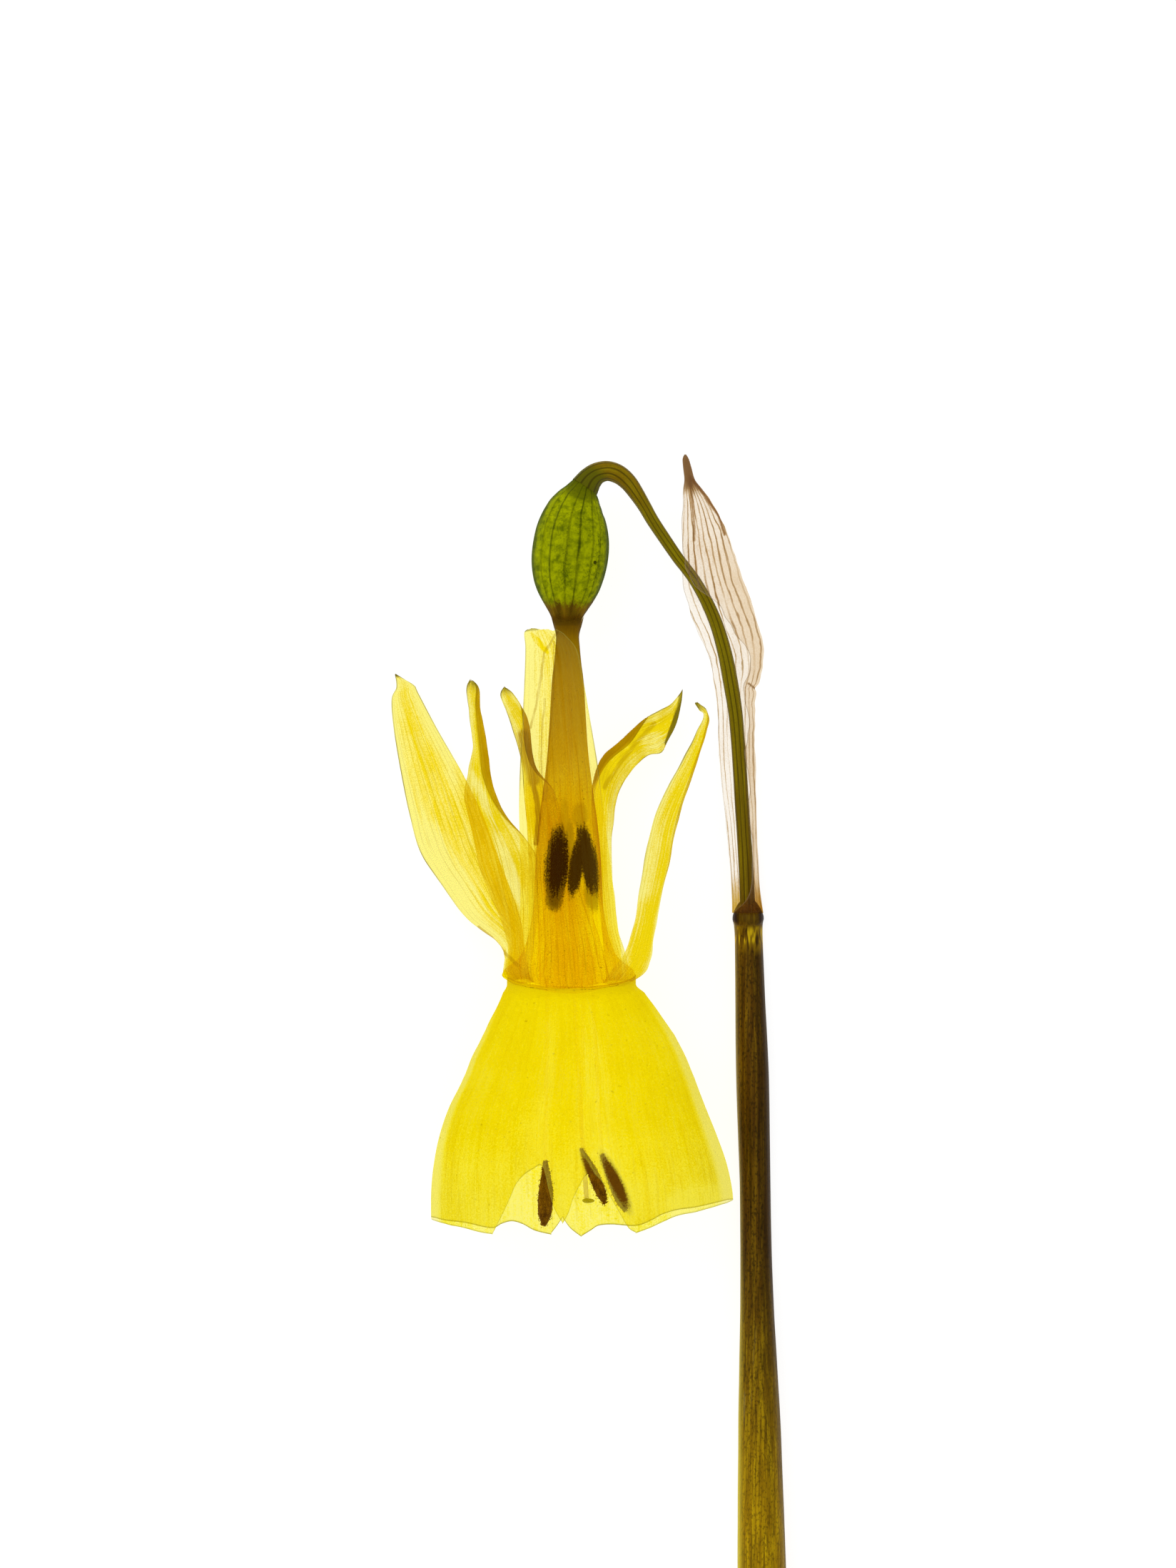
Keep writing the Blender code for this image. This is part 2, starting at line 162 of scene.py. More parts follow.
# %% Camera
VIEW_HEIGHT = 131.8 * MM  # what the long side of the view takes in, at the flower's own height
VIEW_MIDDLE = (1.62 * MM, 16.9 * MM)  # the middle of the view in the plan
FLOWER_HEIGHT = 7 * MM
LENS, SENSOR = 250, 36
camera_data = bpy.data.cameras.new("camera")
camera_data.lens, camera_data.sensor_width = LENS, SENSOR
camera_data.clip_start, camera_data.clip_end = 0.01, 10
camera = bpy.data.objects.new("camera", camera_data)
reach = VIEW_HEIGHT / 2 / (SENSOR / 2 / LENS)
camera.location = (HOME[0] + VIEW_MIDDLE[0], HOME[1] + VIEW_MIDDLE[1], FLOWER_HEIGHT + reach)
bpy.context.scene.collection.objects.link(camera)
bpy.context.scene.camera = camera
print("camera is", round(reach, 3), "m above the flower")

# %% [markdown]
# ## Curves and grids
#
# Each surface is a grid of points: u goes across a piece, or round it, and v goes along it. The shapes come from
# short lists of stations, which a Catmull-Rom curve joins smoothly. A spline object could be bent by hand instead,
# but whole arrays can be measured and changed by a formula, and a fine grid costs no more code than a coarse one.

# %% Grids, curves and lengths


def grid(columns, rows):
    """u and v over a grid, each from 0 to 1, as arrays of rows + 1 by columns + 1."""
    return np.meshgrid(np.linspace(0, 1, columns + 1), np.linspace(0, 1, rows + 1))


def curve(stations, t):
    """Catmull-Rom: 0.5 (2b + (c-a) f + (2a-5b+4c-d) f^2 + (3b-3c+d-a) f^3) between the stations b and c."""
    stations = np.asarray(stations, float)
    spans = len(stations) - 1
    whole = np.clip((np.asarray(t) * spans).astype(int), 0, spans - 1)
    f = (np.asarray(t) * spans - whole)[..., None]
    a, b, c, d = (stations[np.clip(whole + step, 0, spans)] for step in (-1, 0, 1, 2))
    return 0.5 * (2 * b + (c - a) * f + (2 * a - 5 * b + 4 * c - d) * f**2 + (3 * b - 3 * c + d - a) * f**3)


def path_length(points):
    """The sum of the distances from each point to the next."""
    return np.linalg.norm(np.diff(points, axis=0), axis=-1).sum()


bend = curve([(0, 0), (1, 2), (2, 0)], np.linspace(0, 1, 50))
print("a bend through three points is", round(path_length(bend), 3), "long")

# %% [markdown]
# ## Softness and unevenness
#
# Nothing that grows is quite even. Two formulas do most of that: a smooth step, which lets a change start and stop
# gently, and a ripple, which adds up a few sines at angles drawn from a seed. Blender's Displace modifier could
# roughen a surface too, but a ripple can be made to fade towards an edge or a joint.

# %% Soft steps, ripples and unit vectors


def soft(low, high, x):
    """Smooth step: 0 below low, 1 above high, and 3 f^2 - 2 f^3 between them."""
    f = np.clip((x - low) / (high - low), 0, 1)
    return f * f * (3 - 2 * f)


def ripple(x, y, seed, octaves=3):
    """Gentle unevenness between about -1 and 1: sines at drawn angles, each octave twice as fine and half as high."""
    draw = np.random.default_rng(seed)
    total = np.zeros(np.broadcast(x, y).shape)
    for octave in range(octaves):
        for _ in range(3):
            angle, phase = draw.uniform(0, 2 * math.pi, 2)
            pace = 2**octave * draw.uniform(0.7, 1.3)
            total = total + np.sin(pace * (x * math.cos(angle) + y * math.sin(angle)) + phase) / 2**octave / 3
    return total


def unit(vectors):
    """Each vector over its own length."""
    return vectors / np.maximum(np.linalg.norm(vectors, axis=-1, keepdims=True), 1e-9)


print("a quarter of the way, a soft step is at", soft(0, 1, 0.25))

# %% [markdown]
# ## From arrays to a mesh
#
# A grid of points becomes a mesh when faces join its neighbours. Where a piece goes round, its last column is its
# first again, and where it is solid, a fan of triangles closes each end to a point. The order of a face's corners
# says which way it faces, so the fan at one end is turned round.

# %% Faces of a grid


def grid_faces(rows, columns, wide):
    """Face by face, the numbers of its four points, and u and v at its corners. wide is the points in a row."""
    row, column = (part.ravel() for part in np.mgrid[0:rows, 0:columns])
    corner_row = np.stack([row, row, row + 1, row + 1], axis=1)
    corner_column = np.stack([column, column + 1, column + 1, column], axis=1)
    uv = np.stack([corner_column / columns, corner_row / rows], axis=2).reshape(-1, 2)
    return corner_row * wide + corner_column % wide, uv


def end_fan(at, rows, wide, middle):
    """Triangles from the ring in row `at` to the point numbered middle, facing outwards, and their u and v."""
    ring = at * wide + np.arange(wide)
    fan = np.stack([np.roll(ring, -1), ring, np.full(wide, middle)], axis=1)
    share = np.arange(wide) / wide
    u = np.stack([share + 1 / wide, share, share], axis=1)
    if at:
        fan, u = fan[:, ::-1], u[:, ::-1]
    return fan, np.stack([u.ravel(), np.full(3 * wide, at / rows)], axis=1)


print("a grid of 2 by 3 has", len(grid_faces(2, 3, 4)[0]), "faces")

# %% [markdown]
# ## From a mesh to a piece
#
# A piece is a mesh in its place, with its finish, that rides on the flower and stands for solids of the frame.
# u and v are kept as its UV map. Any further number for each point goes in an attribute of its own. One such number
# is the distance in millimetres from the nearest free edge, because real petals have a fine dark outline there.

# %% Make a piece


def settle(name, mesh, finish, slot, nodes=()):
    """Puts a mesh in the scene as a piece that replaces the nodes."""
    mesh.materials.append(finish)
    piece = bpy.data.objects.new(name, mesh)
    bpy.context.scene.collection.objects.link(piece)
    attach(piece, "root")
    if nodes:
        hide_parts(*nodes)
    print(name, len(mesh.polygons), "faces")


def make_piece(name, points, finish, slot, nodes=(), around=False, closed=False, **numbers):
    """A mesh through a grid of plan points. Each of numbers is an array over the grid, kept as an attribute of that
    name."""
    rows, columns = points.shape[0] - 1, points.shape[1] - 1
    wide = columns if around else columns + 1
    spots = points[:, :wide].reshape(-1, 3)
    quads, uv = grid_faces(rows, columns, wide)
    faces = quads.tolist()
    for at in (0, rows) if closed else ():
        fan, fan_uv = end_fan(at, rows, wide, len(spots))
        spots = np.vstack([spots, spots[at * wide:(at + 1) * wide].mean(axis=0)])
        faces += fan.tolist()
        uv = np.vstack([uv, fan_uv])
    mesh = bpy.data.meshes.new(name)
    mesh.from_pydata((spots * MM + HOME).tolist(), [], faces)
    mesh.uv_layers.new(name="UVMap").uv.foreach_set("vector", uv.astype(np.float32).ravel())
    for number, values in numbers.items():
        values = np.broadcast_to(values, points.shape[:2])[:, :wide].ravel().astype(np.float32)
        mesh.attributes.new(number, "FLOAT", "POINT").data.foreach_set("value", values)
    mesh.shade_smooth()
    settle(name, mesh, finish, slot, nodes)


print("pieces are drawn in mm and stand in m, so their points are multiplied by", MM)

# %% [markdown]
# ## Shader sums
#
# A finish is easier to read as a formula than as a chain of nodes. Wrapping a socket in a small class lets Python's
# own operators add the Math nodes, so that `1 - mask * 0.5` means what it says. Each operation comes in two forms,
# because Python calls the reflected one when a plain number stands on the left.

# %% The socket class


def math_node(operation):
    """A method that adds a Math node of this operation, and its reflected form."""

    def act(self, other=0.0):
        """self, operation, other."""
        return self.finish.node("Math", {0: self, 1: other}, operation=operation)

    def reflected(self, other):
        """other, operation, self."""
        return self.finish.node("Math", {0: other, 1: self}, operation=operation)

    return act, reflected


class Term:
    """A socket inside a finish. Arithmetic on it adds Math nodes."""

    def __init__(self, finish, socket):
        self.finish = finish
        self.socket = socket

    __add__, __radd__ = math_node("ADD")
    __sub__, __rsub__ = math_node("SUBTRACT")
    __mul__, __rmul__ = math_node("MULTIPLY")
    __pow__, _ = math_node("POWER")
    least, _ = math_node("MINIMUM")
    most, _ = math_node("MAXIMUM")
    size, _ = math_node("ABSOLUTE")
    rest, _ = math_node("FRACT")

    def within(self, low=0.0, high=1.0):
        """Kept between low and high."""
        return self.most(low).least(high)

    def ramp(self, low, high, to_low=0.0, to_high=1.0):
        """Smooth step from to_low at low to to_high at high."""
        sockets = {"Value": self, "From Min": low, "From Max": high, "To Min": to_low, "To Max": to_high}
        return self.finish.node("MapRange", sockets, interpolation_type="SMOOTHSTEP")

    def near(self, middle, width, core=0.0):
        """1 within core of the middle, falling to 0 at width from it."""
        return (self - middle).size().ramp(width, core)

    def lines(self, start, end):
        """A line at each whole number: a zigzag from 1 there to 0 half way, ramped from start to end."""
        return ((self.rest() - 0.5).size() * 2.0).ramp(start, end)

    def off_side(self):
        """For a u that goes round a piece: 0 at its left and right, 0.5 along its top and its underside."""
        return ((self * 2.0 + 0.5).rest() - 0.5).size()

    def lift(self, start, slope):
        """(self - start) * slope, kept between 0 and 1."""
        return ((self - start) * slope).within()


def strongest(masks):
    """The greatest of several masks at each point."""
    return functools.reduce(Term.most, masks)


print("things a socket can do:", sum(callable(part) for part in vars(Term).values()))

# %% [markdown]
# ## The finish class
#
# A finish is one material. Every node comes from one method, which takes a kind of node, its settings and the
# values or links of its sockets. On top of it are a few patterns: noise through space or over the surface, colours
# laid over each other, and shaders mixed by a share.

# %% The finish class


class Finish:
    """A material that is built by asking for nodes."""

    def __init__(self, name):
        self.material = bpy.data.materials.new(name)
        self.material.use_nodes = True
        self.tree = self.material.node_tree
        self.tree.nodes.clear()

    def node(self, kind, sockets=(), output=0, **settings):
        """Adds one node: its settings first, then the value or the link of each socket."""
        made = self.tree.nodes.new("ShaderNode" + kind)
        for key, value in settings.items():
            setattr(made, key, value)
        for key, value in dict(sockets).items():
            if isinstance(value, Term):
                self.tree.links.new(value.socket, made.inputs[key])
            else:
                made.inputs[key].default_value = value
        return Term(self, made.outputs[output])

    def across_and_along(self):
        """u and v of the piece's own map."""
        place = self.node("UVMap", uv_map="UVMap")
        return [self.node("SeparateXYZ", {0: place}, output=i) for i in (0, 1)]

    def plan(self):
        """X and Y in the flower's own plan, in millimetres."""
        sockets = {"Vector": self.node("TexCoord", output=3), "Location": tuple(-HOME / MM), "Scale": (1 / MM,) * 3}
        spot = self.node("Mapping", sockets)
        return [self.node("SeparateXYZ", {0: spot}, output=i) for i in (0, 1)]

    def number(self, name):
        """An attribute that the mesh keeps for each point."""
        return self.node("Attribute", output=2, attribute_name=name)

    def noise(self, place, detail, rough):
        """Perlin noise between about 0.2 and 0.8."""
        sockets = {"Vector": place, "Scale": 1.0, "Detail": detail, "Roughness": rough}
        return self.node("TexNoise", sockets, output=0)

    def pattern(self, x, y, z=0.0, detail=3.0, rough=0.55):
        """Noise over numbers of the surface, such as u and v. Another z is another draw."""
        return self.noise(self.node("CombineXYZ", {0: x, 1: y, 2: z}), detail, rough)

    def cloud(self, stretch, detail=3.0, rough=0.55):
        """Noise through space, in bumps that are about stretch millimetres wide: one number, or one for each axis."""
        stretch = stretch if isinstance(stretch, tuple) else (stretch,) * 3
        scale = tuple(1 / (MM * s) for s in stretch)
        place = self.node("Mapping", {"Vector": self.node("TexCoord", output=3), "Scale": scale})
        return self.noise(place, detail, rough)

    def blend(self, share, first, second):
        """Mixes two colours."""
        first, second = (c if isinstance(c, Term) else (*c, 1) for c in (first, second))
        return self.node("Mix", {0: share, 6: first, 7: second}, output=2, data_type="RGBA")

    def layers(self, colour, *laid):
        """Lays colours over the first one, each by its own share."""
        for share, over in laid:
            colour = self.blend(share, colour, over)
        return colour

    def clear(self, colour):
        """Tinted light that goes straight through."""
        return self.node("BsdfTransparent", {0: (*colour, 1)})

    def scatter(self, colour):
        """Light that comes out soft on the far side."""
        return self.node("BsdfTranslucent", {0: (*colour, 1)})

    def shine(self, colour, rough, gloss=0.08, bump=None, strength=0.3, depth=0.05):
        """The Principled shader, with an optional height in bump that is depth millimetres high."""
        sockets = {"Base Color": colour, "Roughness": rough, "Specular IOR Level": gloss}
        if bump is not None:
            sockets["Normal"] = self.node("Bump", {"Strength": strength, "Distance": depth * MM, "Height": bump})
        return self.node("BsdfPrincipled", sockets)

    def mix(self, share, first, second):
        """Mixes two shaders."""
        return self.node("MixShader", {0: share, 1: first, 2: second})

    def done(self, shader):
        """The finished material, with the shader on its surface."""
        end = self.tree.nodes.new("ShaderNodeOutputMaterial")
        self.tree.links.new(shader.socket, end.inputs["Surface"])
        return self.material


print("things a finish can do:", sum(callable(part) for part in vars(Finish).values()))

# %% [markdown]
# ## Marks at a place
#
# Some marks aren't noise: a dark oval of painted shade sits over an anther that is seen through a film, and a
# line runs from one place to another, such as painted shade along a crease. They could be painted on an image, but
# a formula stays sharp at any size. Both work on X and Y of the plan.

# %% Ovals and creases
GRAIN = (0.15, 2.0, 0.7)  # the size in millimetres, detail and roughness of the finest mottling that shows


def oval(x, y, middle, half, slant=0.0):
    """((x - x0 - slant (y - y0)) / a)^2 + ((y - y0) / b)^2, which is 1 on an oval of half-sizes a and b."""
    away = y - middle[1]
    across = (x - middle[0] - away * slant) * (1 / half[0])
    along = away * (1 / half[1])
    return across * across + along * along


def crease(x, y, points, width):
    """1 on the line through the points and 0 at the distance width from it."""
    close = []
    for (x0, y0), (x1, y1) in zip(points[:-1], points[1:]):
        run, rise = x1 - x0, y1 - y0
        long = run * run + rise * rise
        share = ((x - x0) * (run / long) + (y - y0) * (rise / long)).within()
        across, along = x - x0 - share * run, y - y0 - share * rise
        close.append(((across * across + along * along) ** 0.5).ramp(width, 0.0))
    return strongest(close)


print("the finest mottling is", GRAIN[0], "mm across")

# %% [markdown]
# ## Light through a petal
#
# A petal is a thin film of coloured cells. Part of the light goes straight through and is tinted on the way, part is
# scattered and comes out soft on the far side, and a little is reflected. Subsurface scattering needs a thickness,
# which a film doesn't have, so the finish mixes three shaders instead: a tinted Transparent one, a Translucent one
# and a Principled one. A pale and a deep version of the first two are mixed by one number, `depth`.

# %% The film
COVER, TOP_COVER = 0.26, 0.07  # the share of light that does not go straight through a petal, and the top one


def film(finish, depth, cover, colour, bump, clear, glow, dull=0.0, tints=(), rough=0.48, strength=0.35):
    """Light passes (clear), scatters through (glow) and reflects. clear and glow are (pale, deep) colours. Where
    dull is 1 nothing scatters through, so that what is brown or dusty stays dark with the light behind it. Each of
    tints is a share and a further clear colour."""
    see = finish.mix(depth, *map(finish.clear, clear))
    for share, tint in tints:
        see = finish.mix(share, see, finish.clear(tint))
    through = finish.mix(depth, *map(finish.scatter, glow))
    face = finish.shine(colour, rough, 0.03, bump, strength)
    share = (1.0 - dull) * 0.6
    return finish.done(finish.mix(cover, see, finish.mix(share, face, through)))


print("straight through a plain petal:", round((1 - COVER) * 100), "% of the light")

# %% [markdown]
# ## Veins and margins of a petal
#
# A petal's veins run lengthwise and come and go, and between them lie finer streaks. Its margin is pale, with a
# thin dark outline, but not where another piece covers it. Real veins branch, which a growth model could copy.
# From this far off, lines that waver a little look the same.

# %% Petal veins and margin


def petal_veins(finish, u, v, seed):
    """Wavering lines, the veins they fade into, broad and thin streaks, and the noise that makes them come and go."""
    sway = finish.pattern(u * 2.0, v * 5.0, seed, 2.0) - 0.5
    streak = finish.pattern(u * 18.0, v * 2.2, seed + 3, 5.0, 0.7)
    thin = finish.pattern(u * 48.0, v * 5.0, seed + 5, 3.0, 0.6)
    line = (u * 12.0 + sway * 1.4).lines(0.74, 0.98)
    faint = finish.pattern(u * 9.0, v * 5.0, seed + 9, 2.0)
    vein = (line * faint.ramp(0.34, 0.56) + (thin - 0.60).ramp(0.0, 0.10) * 0.5).within()
    return line, vein, streak, thin, faint


def petal_margin(finish, x, y, v, faint, patches):
    """The pale margin, the dark outline and the turned-in strip. The first patch has no margin or outline, and
    where the tube covers the petal there is neither outline nor strip."""
    edge, strip = finish.number("edge"), finish.number("strip")
    outline = edge.ramp(0.15, 0.04) * v.ramp(0.25, 0.50) * (faint - 0.1).ramp(0.1, 0.5)
    margin = edge.ramp(1.5, 0.1) * faint.ramp(0.30, 0.62)
    for middle, half, slant, _ in patches[:1]:
        under = oval(x, y, middle, half, slant).ramp(1.5, 0.7)
        margin, outline = margin * (1.0 - under), outline * (1.0 - under * 0.9)
    seen = 1.0 - (x + 0.1).size().ramp(3.0, 2.3) * y.ramp(17.5, 16.0)
    return margin, outline * seen, strip * seen


print("a petal has about 12 veins and a margin 1.5 mm wide")

# %% [markdown]
# ## The petal finish
#
# On a real petal the yellow is deepest in the middle, along the veins and towards the base. Where it wilts it
# browns, and its tip dries to olive, and its creases are darkened with painted shade. Each of these is a number
# from 0 to 1 made from u, v, the distance from the edge and some noise, and the colour and `depth` are sums of
# them. A painted image could hold all of it, but the same sums fit all six tepals, each with its own numbers.

# %% Petal finish


def petal_finish(name, richness, browning, tip_start, base_brown, cover, seed, folds, tips, patches):
    """depth = what the middle, the base, streaks and grain add - what the pale margin takes. Folded strips, the
    base and the tip are browner, and the creases are darkened with painted shade."""
    finish = Finish(name + " yellow")
    u, v = finish.across_and_along()
    x, y = finish.plan()
    line, vein, streak, thin, faint = petal_veins(finish, u, v, seed)
    margin, outline, strip = petal_margin(finish, x, y, v, faint, patches)
    cloud, grain = finish.cloud((1.6, 3.2, 1.6)), finish.cloud(0.13, 2.0, 0.7)
    middle = (1.0 - ((u - 0.5).size() * 2.0)).ramp(0.05, 0.9)
    base = v.ramp(0.30, 0.0)
    tip = v.ramp(tip_start, tip_start * 0.3 + 0.7) * (faint - 0.2).ramp(0.0, 0.3)
    tip = tip * u.ramp(0.34, 0.18) if name == "tepal_top" else tip
    upper = v.ramp(0.15, 0.45)
    depth = middle * 0.62 + base * 0.30 + (streak - 0.5) * 3.2 + (cloud - 0.5) * 1.1 + (grain - 0.5) * 1.5
    depth = depth + vein * 0.50 + 0.16 + richness * upper - margin * 0.50 + strip * 0.3
    for place, half, slant, more in patches:
        patch = (oval(x, y, place, half, slant) + (streak - 0.5) * 2.4).ramp(1.4, 0.2)
        depth = depth + patch * more
    brown = (v.ramp(0.14, 0.0) * base_brown * 0.6 + cloud.ramp(0.35, 0.6) * upper * browning * 0.5 + tip * 0.4
             + (streak - 0.56).most(0.0) * 2.0 + strip * upper * (0.10 + browning) + (grain - 0.5) * 0.5)
    brown = brown + (thin - 0.55).ramp(0.0, 0.09) * middle * 0.22
    mark = vein * 0.5
    bent = x + cloud * 0.5 - 0.25
    folded = []
    # Painted shade: dark lines along the creases, browner and deeper, where the folded sheet turns.
    if folds:
        worn = streak.ramp(0.36, 0.56) * 0.5 + 0.5
        creased = strongest([crease(bent, y, points, width).ramp(0.0, 0.7) * worn * strength
                             for points, width, strength in folds])
        brown, mark = brown + creased * 0.8, (mark + creased * 0.8).within()
        folded = [(creased, (0.40, 0.21, 0.002))]
    for points, width in tips:
        tip = tip.most(crease(bent, y, points, width).ramp(0.0, 0.7))
    if name == "tepal_top":
        depth = depth + oval(x, y, (-2.5, 28.75), (0.36, 1.0), -0.8).ramp(1.2, 0.5) * 0.8
    depth, brown = depth.within(), brown.within()
    pale, deep = (0.95, 0.86, 0.17), (0.88, 0.68, 0.003)
    share = cover + (vein + grain - 0.5) * 0.14 + outline * 0.45 + tip * 0.5 + strip * upper * 0.15
    share = share * y.ramp(14.0, 18.0, 0.05, 1.0) if name == "tepal_top" else share
    bump = line * -0.6 + streak * 0.5 + grain * 0.25
    clear = ((0.99, 0.925, 0.27), (0.925, 0.735, 0.004))
    dull = (vein * 0.8 + outline + tip + mark * 0.5).within()
    tints = [(brown, (0.60, 0.42, 0.004)), *folded]
    colour = finish.layers(
        pale, (depth, deep), (mark, (0.50, 0.32, 0.004)), (brown * 0.5, (0.60, 0.36, 0.003)),
        (tip * 0.85, (0.33, 0.27, 0.012)), (outline * 0.8, (0.28, 0.22, 0.015)),
    )
    return film(finish, depth, share.within(0.02, 0.95), colour, bump, clear, (pale, deep), dull, tints)


print("a petal's finish has", petal_finish.__code__.co_argcount, "numbers and lists of its own")

# %% [markdown]
# ## Tepals
#
# Each of the six tepals is a band between a left and a right edge. A station gives both edges as X, Y, Z, how far
# the band bulges between them, and how wide a hem is turned under at one side. They leave the tube's rim, turn
# sharply back and lie along the tube, and the lower ones reach the table. A flat petal could be bent with
# modifiers, but stations put each margin just where it lies.

# %% Tepal stations
TEPALS = {
    "tepal_top": [
        (-3.9, 0.2, 10.5, 4.1, 0.2, 10.5, 1.30, 0), (-4.1, 1.3, 11.4, 4.45, 1.3, 11.3, 0.90, 0),
        (-4.1, 3.6, 12.0, 4.3, 3.6, 12.0, 0.55, 0), (-4.05, 7.0, 12.1, 3.85, 7.0, 12.1, 0.45, 0),
        (-4.05, 11.0, 11.9, 3.4, 11.0, 11.9, 0.45, 0), (-4.15, 15.0, 11.7, 2.9, 14.8, 11.7, 0.40, 0),
        (-4.05, 18.8, 11.5, 2.45, 18.4, 11.5, 0.40, 0), (-3.85, 22.4, 11.3, 1.85, 22.0, 11.4, 0.40, 0),
        (-3.7, 25.6, 11.2, 1.3, 25.2, 11.3, 0.40, 0), (-3.62, 28.2, 11.1, 0.75, 28.0, 11.2, 0.30, 0),
        (-3.72, 29.5, 11.0, -0.2, 29.3, 11.0, 0.10, 0), (-3.45, 29.85, 10.9, -1.0, 29.8, 10.9, 0, 0),
    ],
    "tepal_upper_left": [
        (-4.9, 0.3, 7.3, -2.9, 0.3, 10.5, 0.4, 0), (-5.4, 1.5, 7.4, -3.1, 1.4, 10.8, 0.5, 0),
        (-5.1, 3.2, 7.6, -2.9, 3.4, 10.8, 0.5, 0), (-5.7, 5.4, 7.9, -2.7, 6.0, 10.6, 0.5, 0),
        (-6.6, 7.6, 8.2, -2.6, 8.4, 10.3, 0.5, 0), (-7.5, 10.0, 8.4, -2.6, 10.6, 10.1, 0.5, 0),
        (-8.1, 12.6, 8.6, -3.5, 12.2, 10.2, 0.4, 0.1), (-8.7, 15.6, 8.9, -5.3, 14.4, 10.7, 0.3, 0.5),
        (-8.4, 18.0, 9.5, -6.35, 17.1, 11.4, 0.3, 1.0), (-8.05, 20.2, 10.2, -6.85, 20.0, 11.6, 0.3, 0.9),
        (-8.35, 23.0, 10.7, -7.3, 23.0, 11.5, 0.2, 0.6), (-8.6, 24.8, 10.9, -7.5, 24.9, 11.3, 0.1, 0.3),
        (-8.22, 25.6, 11.1, -8.05, 25.55, 11.15, 0, 0.05),
    ],
    "tepal_lower_left": [
        (-5.0, 0.3, 6.5, -3.1, 0.2, 3.6, 0.4, 0), (-5.6, 1.1, 6.0, -3.4, 1.4, 3.0, 0.5, 0),
        (-5.5, 2.5, 5.3, -3.6, 3.1, 2.3, 0.5, 0), (-6.1, 3.6, 4.4, -3.9, 4.8, 1.8, 0.5, 0),
        (-8.6, 5.5, 2.9, -4.4, 6.6, 1.5, 0.6, 0), (-10.6, 8.2, 2.0, -5.2, 8.7, 1.1, 0.7, 0),
        (-12.5, 11.0, 1.4, -6.2, 11.3, 0.9, 0.7, 0), (-13.45, 14.2, 1.1, -7.35, 14.4, 0.8, 0.6, 0),
        (-14.2, 17.8, 0.9, -9.0, 17.8, 0.7, 0.5, 0), (-14.8, 21.4, 0.8, -11.0, 21.3, 0.6, 0.4, 0),
        (-15.0, 24.0, 0.8, -12.7, 24.5, 0.6, 0.3, 0), (-14.60, 25.10, 0.8, -13.15, 25.30, 0.7, 0.1, 0),
        (-14.72, 26.2, 0.9, -14.66, 26.15, 0.9, 0, 0),
    ],
    "tepal_bottom": [
        (-3.6, 0.3, 3.9, 3.5, 0.3, 3.9, -1.0, 0), (-3.7, 1.6, 3.0, 3.2, 1.6, 3.0, -0.8, 0),
        (-3.45, 4.5, 1.9, 2.4, 4.5, 1.8, -0.5, 0), (-3.40, 8.5, 1.3, 1.0, 8.5, 1.0, -0.4, 0),
        (-3.50, 12.5, 1.2, -0.3, 12.5, 0.9, -0.3, 0), (-3.80, 16.0, 1.3, -1.2, 16.2, 1.2, -0.2, 0),
        (-4.05, 19.0, 1.4, -2.80, 18.4, 1.6, -0.2, 0.7), (-4.75, 21.4, 1.4, -3.35, 21.9, 1.7, -0.1, 0.6),
        (-5.3, 23.1, 1.3, -4.0, 23.5, 1.6, 0.1, 0.1), (-5.8, 24.4, 1.3, -4.75, 24.6, 1.5, 0.1, 0),
        (-5.5, 25.15, 1.3, -5.4, 25.1, 1.3, 0, 0),
    ],
    "tepal_lower_right": [
        (3.1, 0.3, 3.6, 5.0, 0.3, 6.4, 0.4, 0), (3.1, 2.0, 3.1, 4.9, 2.0, 6.0, 0.5, 0),
        (2.8, 5.2, 2.4, 4.1, 5.2, 5.1, 0.5, 0), (2.3, 9.2, 2.0, 3.75, 8.8, 4.6, 0.5, 0),
        (2.0, 13.0, 1.9, 3.75, 12.6, 4.3, 0.5, 0), (2.0, 16.4, 2.0, 4.1, 15.8, 4.1, 0.4, -0.4),
        (2.6, 18.9, 2.3, 5.2, 17.9, 3.8, 0.4, -0.9), (4.5, 20.7, 2.7, 6.6, 19.25, 3.4, 0.3, -0.8),
        (6.2, 22.3, 2.8, 7.8, 19.55, 3.1, 0.2, -0.3), (7.6, 23.1, 2.8, 8.35, 20.5, 2.9, 0.2, 0.4),
        (8.6, 23.65, 2.7, 9.1, 22.0, 2.7, 0.1, 0.7), (9.35, 24.5, 2.7, 9.5, 23.7, 2.7, 0.05, 0.3),
        (9.6, 24.85, 2.7, 9.62, 24.8, 2.7, 0, 0),
    ],
    "tepal_upper_right": [
        (2.9, 0.3, 10.5, 5.1, 0.3, 7.4, 0.5, 0), (3.6, 1.3, 11.0, 6.4, 1.1, 7.9, 0.6, 0),
        (4.5, 2.5, 11.3, 6.95, 2.4, 8.3, 0.6, 0), (5.2, 4.4, 11.6, 7.2, 4.6, 8.7, 0.6, 0),
        (5.8, 7.2, 11.9, 7.65, 7.2, 9.2, 0.6, 0), (6.4, 10.6, 12.0, 8.45, 10.4, 9.6, 0.6, 0.2),
        (7.1, 13.9, 12.1, 9.15, 13.7, 10.0, 0.5, 0.3), (8.4, 16.9, 12.1, 10.0, 16.5, 10.4, 0.5, 0.4),
        (9.7, 19.3, 12.0, 10.9, 18.9, 10.8, 0.4, 0.5), (10.7, 21.4, 11.9, 11.55, 21.0, 11.2, 0.3, 0.4),
        (11.2, 22.6, 11.8, 11.8, 22.3, 11.4, 0.1, 0.2), (10.9, 23.1, 11.7, 11.45, 23.2, 11.5, 0.1, 0),
        (10.55, 23.65, 11.7, 10.8, 23.75, 11.65, 0, 0),
    ],
}
print("stations:", {name: len(stations) for name, stations in TEPALS.items()})

